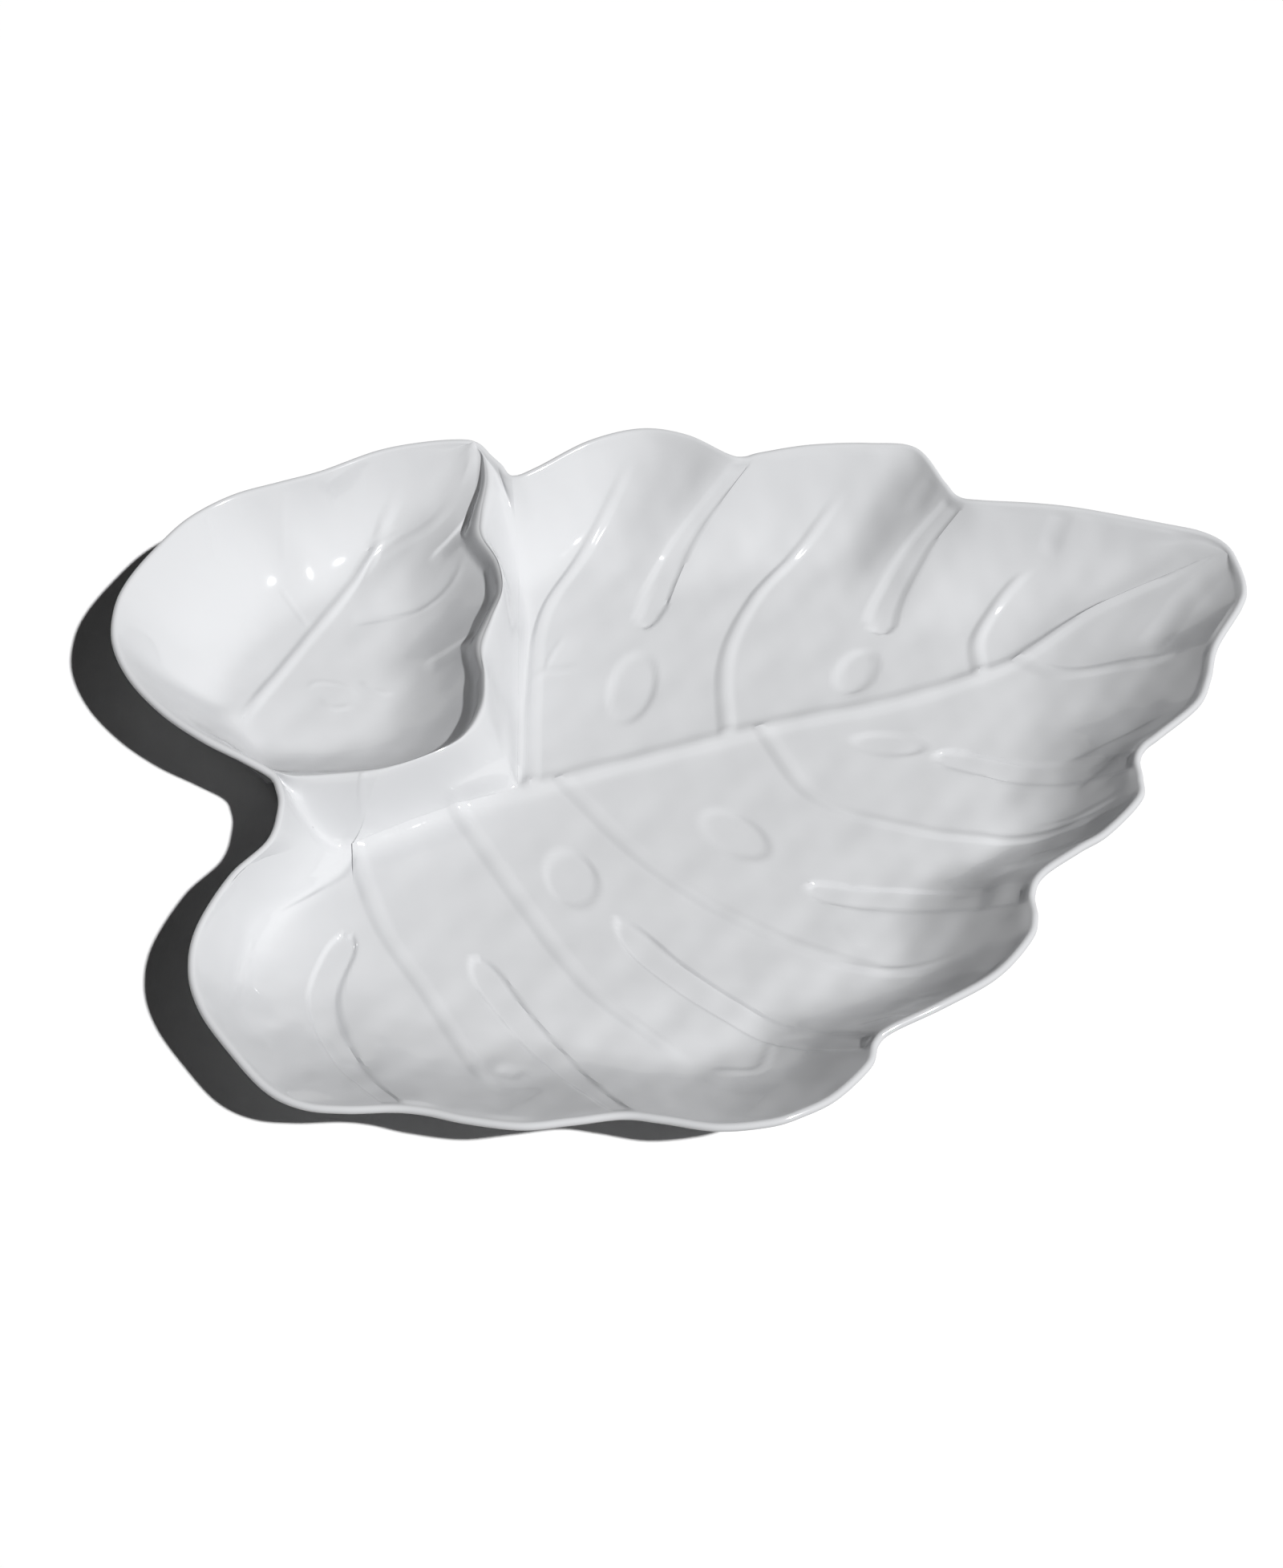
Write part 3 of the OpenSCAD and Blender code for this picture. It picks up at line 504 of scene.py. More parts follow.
def fold_relief(p):
    """Every fold that runs close to a point lifts it, by how near and on which side it runs."""
    flat = p.reshape(-1, 2)
    rise = np.zeros(len(flat))
    for height, left, right, *shares in FOLDS:
        line = along(place(shares), np.linspace(0, len(shares) - 1, FOLD_STEPS * len(shares)))
        wide = max(left, right)
        close = ((flat > line.min(axis=0) - wide) & (flat < line.max(axis=0) + wide)).all(axis=1)
        q, steps = flat[close][:, None] - line[:-1], np.diff(line, axis=0)
        f = clamp01((q * steps).sum(axis=-1) / (steps ** 2).sum(axis=-1))
        gaps = q - f[..., None] * steps
        k = span(gaps).argmin(axis=1)
        nearest = np.arange(len(k)), k
        gap, step, way = gaps[nearest], steps[k], (k + f[nearest]) / len(steps)
        side = step[:, 0] * gap[:, 1] - step[:, 1] * gap[:, 0]
        ends = smooth(way / FOLD_RUN_OUT) * smooth((1 - way) / FOLD_RUN_OUT)
        rise[close] += height * ends * bump(span(gap) / np.where(side > 0, left, right))
    return rise.reshape(p.shape[:-1])


# Each wave: its length in mm, its direction in degrees, its height in mm and its phase
WAVES = [(31, 20, 0.11, 0.4), (43, 75, 0.13, 2.1), (26, 128, 0.09, 4.0), (19, 160, 0.06, 1.3),
         (57, 100, 0.14, 5.2), (15, 52, 0.045, 3.3), (22, 105, 0.07, 0.9), (13, 140, 0.035, 2.6),
         (10.5, 15, 0.02, 5.0), (9, 80, 0.016, 1.9)]
# On the large leaf's wall, which begins between these shares of a station, they are higher
WALL_WAVES, WALL_BEGINS = 1.7, (0.35, 0.75)


def waves(p):
    rise = np.zeros(p.shape[:-1])
    for length, turn, height, phase in WAVES:
        a = radians(turn)
        way = p[..., 0] * cos(a) + p[..., 1] * sin(a)
        rise += height * np.sin(way * 2 * pi / length + phase)
    return rise


print("highest wave in mm:", sum(w[2] for w in WAVES))

# %% [markdown]
# ## Dish and wall
# The floor stays level and then curves up to the rim in one sweep, ever steeper, which is
# a power curve. On the upper side the wall swells a little halfway up and turns out just
# below the rim, as a leaf does. The lower side is the plain curve let down by the wall, more
# where the wall is steep, and it ends flat where the foot rings stand.

# %% Heights of the dish and of its lower side
def rib_z(m, rise):
    climbed = clamp01((m - rise[0]) / (1 - rise[0])) ** RIB_POWER
    return mix(FLOOR_Z, RIM_H * rise[1], climbed)


def dish_z(rib_h, end_h, length, dish_w, r, swell, turn_out):
    w = np.minimum(length, dish_w)
    u = np.maximum(0, 1 - (1 - r) * length / w)
    away = np.maximum(0, (1 - r) * length / TURN_OUT_AT)
    climb = u ** DISH_POWER * (1 + swell * (1 - u))
    return mix(rib_h, end_h, climb) + turn_out * away * np.exp(1 - away)


def not_short(length):
    """Stations shorter than 12 mm have no wall that could turn out, and from 32 mm on all do."""
    return between(length, 12, 32)


def large_surface(st, r, upper=1):
    """The large leaf at shares r: places, heights of the dish and of the relief on it.

    The lower side asks for upper 0: its wall neither swells nor turns out."""
    p = points_at(st, r)
    length = st["length"][:, None]
    wide = LARGE_DISH_W * np.interp(st["s"], *DISH_W_SHARES.T)[:, None]
    swell, turn_out = (upper * np.interp(st["s"], *shares.T)[:, None]
                       for shares in (SWELLS, TURN_OUTS))
    base = dish_z(rib_z(st["m"], LARGE_RIB_RISE)[:, None], st["end"][:, 2:], length, wide, r,
                  swell, turn_out * not_short(length))
    rib = rib_relief(st, p) * smooth((LARGE_RIB_END - st["m"]) * LARGE_RIB_FADE)[:, None]
    rise = line_relief(st, p, r) + oval_relief(p) + fold_relief(p) + rib
    rough = waves(p) * mix(1, WALL_WAVES, between(r, *WALL_BEGINS))
    return p, base, (rise + rough) * smooth((1 - r) * length / WALL_T)


def band_fade(c):
    return smooth(c / BAND_BEGINS) * smooth((CREST_N - c) / BAND_ENDS)


def bowl_edge(st):
    """Share at which the bowl's dish ends, and the height of the band that goes on from there."""
    fade = band_fade(st["s"])[:, None] if st["half"]["on_crest"] else 0 * st["m"][:, None]
    wide = np.interp(st["s"], *BAND_WIDTHS.T)[:, None]
    return 1 - fade * np.minimum(MOST_FIRST, wide / st["length"][:, None]), fade


def small_surface(st, r, upper=1):
    """The same for the bowl, then its steep band and the dish carried on past its edge."""
    p = points_at(st, r)
    length = st["length"][:, None]
    edge, fade = bowl_edge(st)
    sunk = BAND_H * fade
    rib_h = rib_z(st["m"], BOWL_RIB_RISE)[:, None]
    turn_out = upper * BOWL_TURN_OUT * (1 - fade) * not_short(length)
    free = dish_z(rib_h, st["end"][:, 2:] - sunk, length, SMALL_DISH_W, r / edge,
                  upper * BOWL_SWELL, turn_out)
    dish = np.minimum(free, st["end"][:, 2:] - sunk)
    up = clamp01((r - edge) / np.maximum(1e-6, 1 - edge))
    band = sunk * np.sin(up * pi / 2) ** BAND_POWER
    bead = BEAD_H * fade * bump((r - edge) * length / BEAD_W)
    fades = smooth((BOWL_RIB_END - st["m"]) * BOWL_RIB_FADE) * smooth(st["m"] * BOWL_RIB_START)
    rise = BOWL_RELIEF * rib_relief(st, p, BOWL_RELIEF) * fades[:, None]
    rise = (rise + fold_relief(p) + waves(p)) * smooth((1 - r) * length / WALL_T - fade) + bead
    return p, dish, rise, band, free


def under_side(p, base):
    """The lower side of the wall below points that lie in rings."""
    after = np.minimum(np.arange(p.shape[1]) + 1, p.shape[1] - 1)
    before = np.maximum(np.arange(p.shape[1]) - 1, 0)
    run = np.maximum(WALL_T / 8, span(p[:, after] - p[:, before]))
    slope = (base[:, after] - base[:, before]) / run
    deep = WALL_T * np.minimum(STEEPEST, np.sqrt(1 + slope ** 2))
    return np.concatenate([p, np.maximum(FOOT_H, base - deep)[..., None]], axis=-1)


def rings(st, first_mm, count):
    """Shares from the midrib out: a few steps across its edge, then count steps to the rim."""
    first = np.minimum(MOST_FIRST, first_mm / st["length"])[:, None]
    q = np.linspace(0, 1, count + 1)
    q = q * (1 + CLOSER - CLOSER * q)
    return np.concatenate([first * np.linspace(0, 1, INNER + 1)[:-1], mix(first, 1, q)], axis=1)


def under_rings(st):
    """The same for the lower side, with one step across half the midrib."""
    half_rib = MIDRIB_W / 2 * mix(1, 0.5, st["m"])
    first = np.minimum(MOST_FIRST, half_rib / st["length"])[:, None]
    return np.concatenate([0 * first, mix(first, 1, UNDER_SHARES[None])], axis=1)


print("the floor's top lies at", FLOOR_Z, "mm")

# %% [markdown]
# ## Soft blends
# Drawn from lines alone, the dish has faint folds where two lines meet at an angle: in the
# corners, at the stalk and along the divider's foot. In the mould these are blended with a
# wide radius. A blurred height map of the same surface gives that blend. Blurring would sag
# at a rim, so the surface is first carried on past it, and what still misses the rim is
# made good over the last millimetres.

# %% How far the blends reach, in mm
FINE_BLEND, BLEND, WIDE_BLEND = 2, 4, 9
# The surface is carried on past its edge: how far, in which steps, and how fast it fades
BEYOND, BEYOND_STEP, BEYOND_COUNTS = 27, 0.8, 3
# Rings between the places whose slopes give the bend at the edge
EDGE_RINGS = 4
MOST_BEND, SLOPE_RANGE = 0.04, (-0.5, 1.6)
LEAST_COUNT = 1e-5
# Within so many mm of the edge the blend goes over into the drawn height, but never over
# more than this share of a station
RIM_REACH, BOWL_CORNER_REACH, MOST_REACH = 10, 5, 0.9
# The corner, where the walls of both halves run together, begins between these places on
# the midrib
CORNER = (0.8, 0.95)
print("blends reach", BLEND, "mm, and", WIDE_BLEND, "mm in the corners")

# %% A blurred height map
def splat(shape, spot, values):
    """Adds values to the four cells around each spot, by nearness."""
    grid = np.zeros(shape)
    low = np.floor(spot).astype(int)
    part = spot - low
    for dx in (0, 1):
        for dy in (0, 1):
            near = np.abs(1 - dx - part[:, 0]) * np.abs(1 - dy - part[:, 1])
            np.add.at(grid, (low[:, 0] + dx, low[:, 1] + dy), near * values)
    return grid


def blurred(grid, reach):
    cells = np.arange(-3 * reach, 3 * reach + 1)
    weights = np.exp(-0.5 * (cells / reach) ** 2)
    for axis in (0, 1):
        grid = np.apply_along_axis(np.convolve, axis, grid, weights, mode="same")
    return grid


def beyond(p, base):
    """Carries the surface on past its edge, counting less and less on the way."""
    last, before = [-1, -1 - EDGE_RINGS], [-1 - EDGE_RINGS, -1 - 2 * EDGE_RINGS]
    steps = p[:, last] - p[:, before]
    ways = np.linalg.norm(steps, axis=-1, keepdims=True)
    slopes = (base[:, last] - base[:, before]) / ways[..., 0]
    bend = np.clip((slopes[:, :1] - slopes[:, 1:]) / ways.mean(axis=1), 0, MOST_BEND)
    slope = np.clip(slopes[:, :1] + bend * ways[:, 0] / 2, *SLOPE_RANGE)
    far = np.arange(0.5, BEYOND, BEYOND_STEP)
    height = base[:, -1:] + slope * far + bend * far ** 2 / 2
    spots = p[:, -1:] + steps[:, :1] / ways[:, :1] * far[None, :, None]
    return spots, height, np.exp(-far / BEYOND_COUNTS)


def height_map(samples, reach):
    """Blurs sampled heights over reach millimetres and returns the function that reads them.

    A sample holds places, their heights and how much they count."""
    spots = np.vstack([p.reshape(-1, 2) for p, _, _ in samples])
    heights = np.concatenate([z.ravel() for _, z, _ in samples])
    counts = np.concatenate([np.broadcast_to(w, z.shape).ravel() for _, z, w in samples])
    corner = np.floor(spots.min(axis=0)) - 2
    shape = tuple((np.ceil(spots.max(axis=0) - corner) + 3).astype(int))
    count = splat(shape, spots - corner, counts)
    total = splat(shape, spots - corner, counts * heights)
    known = count > LEAST_COUNT
    mean = np.where(known, total / np.maximum(count, LEAST_COUNT), 0)
    weight = np.maximum(blurred(known.astype(float), reach), 1e-6)
    once = blurred(mean, reach) / weight
    # Blurred twice and taken off again, so that a round wall keeps its height
    soft = 2 * once - blurred(once * known, reach) / weight

    def read(p):
        spot = np.clip(p - corner, 0, np.array(shape) - 1.001)
        low = np.floor(spot).astype(int)
        part = spot - low
        x, y = low[..., 0], low[..., 1]
        left = mix(soft[x, y], soft[x, y + 1], part[..., 1])
        right = mix(soft[x + 1, y], soft[x + 1, y + 1], part[..., 1])
        return mix(left, right, part[..., 0])
    return read


def at_end(st):
    """How far a station belongs to the corner at the midrib's far end."""
    return between(st["m"], *CORNER)[:, None]


def settled(st, r, soft, miss, edge, end_reach):
    """A blended height, brought to the drawn height at the edge within a few millimetres."""
    length = st["length"][:, None]
    reach = np.minimum(mix(RIM_REACH, end_reach, at_end(st)), MOST_REACH * length * edge)
    return soft + miss * (1 - smooth((edge - r) * length / reach))


# %% [markdown]
# ## From a grid to a shell
# By hand, this shell would be a grid pulled into shape, given a wall and welded. The same
# happens here: a grid primitive gets one row of points a station, and each row runs out
# along the top, round the lip and back below. Two such grids, welded along the midrib,
# give a leaf with a true wall.

# %% A grid primitive shaped into rows of points, and the weld
SHARP_FROM = radians(40)
WELD_WITHIN = 2e-6


def sheet(name, rows):
    """A grid primitive whose points take the places in rows, given in millimetres."""
    count, width = rows.shape[:2]
    bpy.ops.mesh.primitive_grid_add(x_subdivisions=count - 1, y_subdivisions=width - 1, size=1)
    piece = bpy.context.object
    piece.name = name
    co = np.empty(count * width * 3)
    piece.data.vertices.foreach_get("co", co)
    co = co.reshape(-1, 3)
    u = np.rint((co[:, 0] + 0.5) * (count - 1)).astype(int)
    v = np.rint((co[:, 1] + 0.5) * (width - 1)).astype(int)
    piece.data.vertices.foreach_set("co", (rows[u, v] / 1000).ravel())
    piece.data.update()
    return piece


def weld(name, sheets):
    """Joins sheets into one closed shell with outward faces and smooth shading."""
    bpy.ops.object.select_all(action="DESELECT")
    for one_sheet in sheets:
        one_sheet.select_set(True)
    bpy.context.view_layer.objects.active = sheets[0]
    if len(sheets) > 1:
        bpy.ops.object.join()
    piece = sheets[0]
    piece.name = piece.data.name = name
    bpy.ops.object.mode_set(mode="EDIT")
    bpy.ops.mesh.select_mode(type="VERT")
    bpy.ops.mesh.select_all(action="SELECT")
    bpy.ops.mesh.remove_doubles(threshold=WELD_WITHIN)
    bpy.ops.mesh.select_all(action="SELECT")
    bpy.ops.mesh.fill_holes(sides=0)
    bpy.ops.mesh.select_all(action="SELECT")
    bpy.ops.mesh.normals_make_consistent(inside=False)
    bpy.ops.object.mode_set(mode="OBJECT")
    bpy.ops.object.shade_smooth_by_angle(angle=SHARP_FROM)
    edge_uses = np.zeros(len(piece.data.edges), int)
    loops = np.empty(len(piece.data.loops), int)
    piece.data.loops.foreach_get("edge_index", loops)
    np.add.at(edge_uses, loops, 1)
    print(name, "faces:", len(piece.data.polygons), "edges not shared by two faces:",
          int((edge_uses != 2).sum()))
    return piece


def lip_rows(s):
    """Points round the lip at each station, from its inner edge to its lower outer edge."""
    return lip_pt(*np.broadcast_arrays(s[:, None], LIP_TURNS[None]))


# %% The large leaf's stations
STEP = 1.85
RINGS, FIRST_RING = 96, 8
start_m = FAR_LINES[0][1]
shared = shared_places(near_half, far_half, start_m, STEP)
split_s = place_of(near_half, shared[:1])[0]
rim_s = np.linspace(0, split_s, RIM_PLACES)
steps = span(np.diff(outline(rim_s), axis=0)) * crowding(near_half, rim_s)[1:]
run = np.concatenate([[0], np.cumsum(steps)])
first_s = np.interp(np.linspace(0, run[-1], int(run[-1] / STEP) + 1), run, rim_s)
near_s = np.concatenate([first_s, place_of(near_half, shared)])
wall_n = len(first_s)
near_st = stations(near_half, near_s)
far_st = stations(far_half, place_of(far_half, shared))
print("stations of the large leaf:", len(near_s), "near,", len(shared), "far")

# %% [markdown]
# ## The divider
# The divider is a steep slope from the crest down to the large leaf's floor: hollow at its
# foot, rounded at its crest. Its foot follows the leaf's own edge, so both meet without a
# step, and at its far end it runs out into the plate's rim.

# %% The divider's foot
def seam_on(half, s, r, crest_c):
    """One station of the leaf as the divider's foot, with its places on the crest."""
    st = stations(half, np.full(1, float(s)))
    low_r = under_rings(st)
    low_p, low_base, _ = large_surface(st, low_r, 0)
    low = under_side(low_p, low_base)[0]
    low[-1] = lip_pt(st["s"], pi * one)[0]
    under = np.stack([np.interp(r, low_r[0], low[:, k]) for k in range(3)], axis=-1)
    c = np.interp(r, low_r[0], np.linspace(crest_c[0], crest_c[1], low_r.shape[1]))
    return st, r[None], under, c


def evened(c, reach=6):
    """Takes the corners out of an evenly sampled run, and keeps its ends."""
    window = 2 * reach + 1
    longer = np.concatenate([2 * c[0] - c[reach:0:-1], c, 2 * c[-1] - c[-2:-2 - reach:-1]])
    return np.convolve(longer, np.ones(window) / window, mode="valid")


SEAM_N, SLOPE_N = 110, 34
stalk_s = NEAR_LINES[4][0]
stalk_s_list = near_s[(near_s > stalk_s) & (np.arange(len(near_s)) < wall_n)]
notch = seam_on(near_half, 0, np.linspace(1, 0, SEAM_N), (CREST_STALK, 0))
far_seam = seam_on(far_half, STALK_AT, np.linspace(0, 1, SEAM_N), (CREST_BEND, CREST_N))
stalk_c = mix(CREST_STALK, CREST_BEND, (stalk_s_list - stalk_s) / (split_s - stalk_s))
foot_c = evened(np.concatenate([notch[3], stalk_c, far_seam[3][1:]]))
print("points along the divider's foot:", len(foot_c))


# %% The surface of leaf and divider together
FOOT_RISE, CREST_FALL = 0.25, 0.5


def slope_rise(t):
    """The share of the height climbed at share t: it rises at the foot and falls at the crest."""
    return smooth(t) + FOOT_RISE * t * (1 - t) ** 2 - CREST_FALL * t * t * (t - 1)


def strung(parts):
    """Joins the points or heights along the three stretches of the foot into one run."""
    return np.concatenate([part.reshape(-1, *part.shape[2:]) for part in parts])


near_r, far_r = (rings(st, FIRST_RING, RINGS) for st in (near_st, far_st))
stalk_st = stations(near_half, stalk_s_list)
stalk_r = 0 * stalk_s_list[:, None]
foot = [(notch[0], notch[1]), (stalk_st, stalk_r), (far_seam[0], far_seam[1][:, 1:])]
foot_parts = [large_surface(st, r) for st, r in foot]
foot_p, foot_base, foot_rise = (strung(parts) for parts in zip(*foot_parts))
t = np.linspace(0, 1, SLOPE_N + 1)
top_end = crest(foot_c)
slope_p = mix(foot_p[:, None], top_end[:, None, :2], t[None, :, None])
slope_base = mix(foot_base[:, None], top_end[:, None, 2], slope_rise(t)[None])
near_p, near_base, near_rise = large_surface(near_st, near_r)
far_p, far_base, far_rise = large_surface(far_st, far_r)
samples = [(near_p, near_base, 1), (far_p, far_base, 1), (slope_p, slope_base, 1),
           beyond(near_p, near_base), beyond(far_p, far_base)]
fine_z, soft_z, wide_z = (height_map(samples, reach) for reach in (FINE_BLEND, BLEND, WIDE_BLEND))


# How far from the tip's rim and the divider's foot the wider blends begin to count, in mm
TIP_RIM, FOOT_REACH = 12, (5, 12)


def tip_share(st, r):
    """Near the tip the two walls meet in one wide hollow, but keep their own way to the rim."""
    return at_end(st) * smooth((1 - r) * st["length"][:, None] / TIP_RIM)


def off_foot(p):
    """How far the wider blend counts: close to the divider's front foot only the fine one does."""
    d = np.full(p.shape[:-1], np.inf)
    for point in foot_p[SEAM_N * 2 // 3:SEAM_N + len(stalk_s_list):2]:
        d = np.minimum(d, span(p - point))
    return between(d, *FOOT_REACH)


def blended(p):
    return mix(fine_z(p), soft_z(p), off_foot(p))


def large_top(st, p, r):
    edge = np.ones((len(p), 1))
    miss = st["end"][:, 2:] - blended(points_at(st, edge))
    return settled(st, r, mix(blended(p), wide_z(p), tip_share(st, r)), miss, edge, RIM_REACH)


def solid_points(p, height):
    return np.concatenate([p, height[..., None]], axis=-1)


# %% The large leaf
def large_rows(st, p, base, rise, r):
    low_r = under_rings(st)
    low_p, low_base, _ = large_surface(st, low_r, 0)
    # Where the blend lies below the drawn dish, the lower side gives way too
    low_base = np.minimum(low_base, large_top(st, low_p, low_r))
    height = large_top(st, p, r)
    print("blend against the drawn dish in mm:", (height - base).min(), (height - base).max())
    top = solid_points(p, height + rise)
    return np.concatenate([top[:, :-1], lip_rows(st["s"]), under_side(low_p, low_base)[:, -2::-1]],
                          axis=1)


near_rows = large_rows(near_st, near_p, near_base, near_rise, near_r)
far_rows = large_rows(far_st, far_p, far_base, far_rise, far_r)
far_rows[:, [0, -1]] = near_rows[wall_n:, [0, -1]]
# The wall along the stalk's stretch of the midrib, where the divider stands against it
stalk_wall = near_rows[:, :1].copy()
stalk_wall[:wall_n] = near_rows[:wall_n, -1:]
large_leaf = weld("large_leaf_shell", [
    sheet("near_half", np.concatenate([stalk_wall, near_rows], axis=1)),
    sheet("far_half", far_rows),
])

# %% The divider's slope and shoulder
# Within so many mm of its corner the divider's blend reaches higher, from this share of the
# height on, and over its last points the divider turns into the shoulder of the rim
CORNER_ROUND, CORNER_FROM, SHOULDER_RUN = 18, 0.3, 13
far_seam_foot = foot_parts[2][0][0, 0]
foot_top = strung(large_top(st, part[0], r) for (st, r), part in zip(foot, foot_parts))
foot_lift = foot_top - blended(foot_p)
off_corner = span(slope_p - far_seam_foot)
rounded = between(t, 0, CORNER_FROM) * smooth(2 - off_corner / CORNER_ROUND)
reach_up = 1 - smooth(mix(t, clamp01((t - CORNER_FROM) / (1 - CORNER_FROM)), rounded))
blend = mix(blended(slope_p), wide_z(slope_p), rounded)
height = mix(slope_base, blend, reach_up) + foot_lift[:, None] * (1 - smooth(t))
# The leaf's relief runs out halfway up, and the divider's own just below the crest
ending = 1 - between(t, 0, 0.5)
own = fold_relief(slope_p) - fold_relief(foot_p)[:, None] * ending
slope = solid_points(slope_p, height + foot_rise[:, None] * ending + own * smooth((1 - t) * 6))
stalk_low = large_surface(stalk_st, np.tile([0, 0.1], (len(stalk_s_list), 1)), 0)
foot_under = np.vstack([notch[2], under_side(*stalk_low[:2])[:, 0], far_seam[2][1:]])
slope_under = under_side(slope_p, slope_base)
slope_under[:, 0], slope_under[:, -1] = foot_under, crest_under(foot_c)
shoulder_s = mix(STALK_AT, CORNER_AT, t)
to_last = len(foot_c) - 1 - np.arange(len(foot_c))
turn_in = smooth(1 - to_last / SHOULDER_RUN)[:, None, None]
slope += turn_in * (lip_edge(shoulder_s) - slope[-1])[None]
slope_under += turn_in * (lip_pt(shoulder_s, pi + 0 * t) - slope_under[-1])[None]
divider_rows = np.concatenate([foot_under[:, None], slope, slope_under[:, ::-1]], axis=1)
divider = weld("divider_slope", [sheet("slope", divider_rows),
                                 sheet("shoulder", lip_rows(shoulder_s))])

# %% [markdown]
# ## The small bowl
# The bowl is a leaf of its own. Its far half has the plate's rim, and its near half ends
# at the divider's crest with a lobed edge three to six millimetres inside it: a thin bead of
# light with a steep dark band above, which makes the bowl read as a leaf laid into the plate.

# %% The small leaf
BOWL_STEP, BOWL_RINGS, BOWL_FIRST_RING = 1.3, 72, 5
bowl_m = shared_places(bowl_near, bowl_far, 0, BOWL_STEP)


def bowl_blend(st, p):
    """Towards the bowl's corner the wide blend counts more, and a little less right in it."""
    wide = between(st["m"], 0.45, 0.75) * mix(1, 0.6, between(st["m"], 0.85, 0.95))
    return mix(bowl_soft(p), bowl_wide(p), wide[:, None])


def small_rows(st, p, dish, rise, band, r):
    first = np.minimum(MOST_FIRST, MIDRIB_W / 4 / st["length"])[:, None]
    edge = 1 - np.minimum(MOST_FIRST, UNDER_BAND_W / st["length"])[:, None]
    low_r = np.concatenate([0 * first, mix(first, edge, BOWL_UNDER_SHARES[None]),
                            mix(edge, 1, 0.5), 0 * first + 1], axis=1)
    low_p, low_dish, _, low_band, _ = small_surface(st, low_r, 0)
    under = under_side(low_p, low_dish + low_band)
    edge, fade = bowl_edge(st)
    end_h = st["end"][:, 2:] - BAND_H * fade
    miss = end_h - bowl_blend(st, points_at(st, edge))
    soft = settled(st, r, bowl_blend(st, p), miss, edge, BOWL_CORNER_REACH)
    soft = np.where(r < edge, soft, end_h)
    print("blend against the drawn bowl in mm:", (soft - dish).min(), (soft - dish).max())
    top_rows = solid_points(p, soft + rise + band)
    if st["half"]["on_crest"]:
        edge_rows = np.stack([crest(st["s"]), crest_under(st["s"])], axis=1)
    else:
        edge_rows = lip_rows(st["s"])
    return np.concatenate([top_rows[:, :-1], edge_rows, under[:, -2::-1]], axis=1)


bowl_st = [stations(half, place_of(half, bowl_m)) for half in (bowl_near, bowl_far)]
bowl_r = [rings(st, BOWL_FIRST_RING, BOWL_RINGS) for st in bowl_st]
bowl_parts = [small_surface(st, r) for st, r in zip(bowl_st, bowl_r)]
bowl_samples = [(p, free, 1) for p, _, _, _, free in bowl_parts]
bowl_samples += [beyond(*sample[:2]) for sample in bowl_samples]
bowl_soft, bowl_wide = (height_map(bowl_samples, reach) for reach in (BLEND, WIDE_BLEND))
bowl_near_rows, bowl_far_rows = (small_rows(st, *part[:4], r)
                                 for st, part, r in zip(bowl_st, bowl_parts, bowl_r))
bowl_far_rows[:, [0, -1]] = bowl_near_rows[:, [0, -1]]
small_leaf = weld("small_leaf_shell", [sheet("bowl_near", bowl_near_rows),
                                       sheet("bowl_far", bowl_far_rows)])

# %% [markdown]
# ## Foot rings
# The plate stands on two low rings that belong to the moulding. Each starts as a filled
# circle, is inset by the ring's wall, loses its middle, is raised and gets its edges
# rounded, as the mould would draw it.

# %% Foot rings from circles
def foot_ring(name, size, share, turn, points=160, rounding_mm=0.7):
    bpy.ops.mesh.primitive_circle_add(vertices=points, radius=1, fill_type="NGON")
    ring = bpy.context.object
    ring.name = ring.data.name = name
    ring.scale = (size[0] / 2000, size[1] / 2000, 1)
    bpy.ops.object.transform_apply(location=False, rotation=False, scale=True)
    bpy.ops.object.mode_set(mode="EDIT")
    bpy.ops.mesh.select_all(action="SELECT")
    bpy.ops.mesh.inset(thickness=FOOT_T / 1000, use_even_offset=True)
    bpy.ops.mesh.delete(type="FACE")
    bpy.ops.mesh.select_all(action="SELECT")
    bpy.ops.mesh.extrude_region_move(TRANSFORM_OT_translate={"value": (0, 0, FOOT_H / 1000)})
    bpy.ops.mesh.select_all(action="SELECT")
    bpy.ops.mesh.normals_make_consistent(inside=False)
    bpy.ops.object.mode_set(mode="OBJECT")
    bpy.ops.object.modifier_add(type="BEVEL")
    rounding = ring.modifiers[-1]
    rounding.width, rounding.segments, rounding.limit_method = rounding_mm / 1000, 3, "ANGLE"
    bpy.ops.object.modifier_apply(modifier=rounding.name)
    ring.rotation_euler = (0, 0, radians(turn))
    ring.location = (*(place([share])[0] / 1000), 0)
    bpy.ops.object.transform_apply(location=True, rotation=True, scale=True)
    bpy.ops.object.shade_smooth_by_angle(angle=SHARP_FROM)
    print(name, "faces:", len(ring.data.polygons))
    return ring


large_foot = foot_ring("large_foot", LARGE_FOOT, (32, 12), 26)
small_foot = foot_ring("small_foot", (SMALL_FOOT_D, SMALL_FOOT_D), (-334, 166), 0)

# %% Each piece stands for its CAD node
for piece, node in ((large_leaf, "large_leaf"), (small_leaf, "small_leaf"), (divider, "divider"),
                    (large_foot, "large_foot_ring"), (small_foot, "small_foot_ring")):
    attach(piece, "root")
    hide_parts(node)
    print(piece.name, "stands for", node)

# %% [markdown]
# ## Glossy white melamine
# Melamine is a hard moulding resin: an opaque white, here the least bit cool, under a glossy
# skin that copies the polished mould. What gives it away is the sharp small highlight over a
# soft white body, with the faintest orange peel in the gloss.

# %% The melamine
def linear(hex_colour):
    """An sRGB hex colour as the linear numbers that a shader takes."""
    parts = [int(hex_colour[k:k + 2], 16) / 255 for k in (1, 3, 5)]
    return [c / 12.92 if c <= 0.04045 else ((c + 0.055) / 1.055) ** 2.4 for c in parts] + [1]


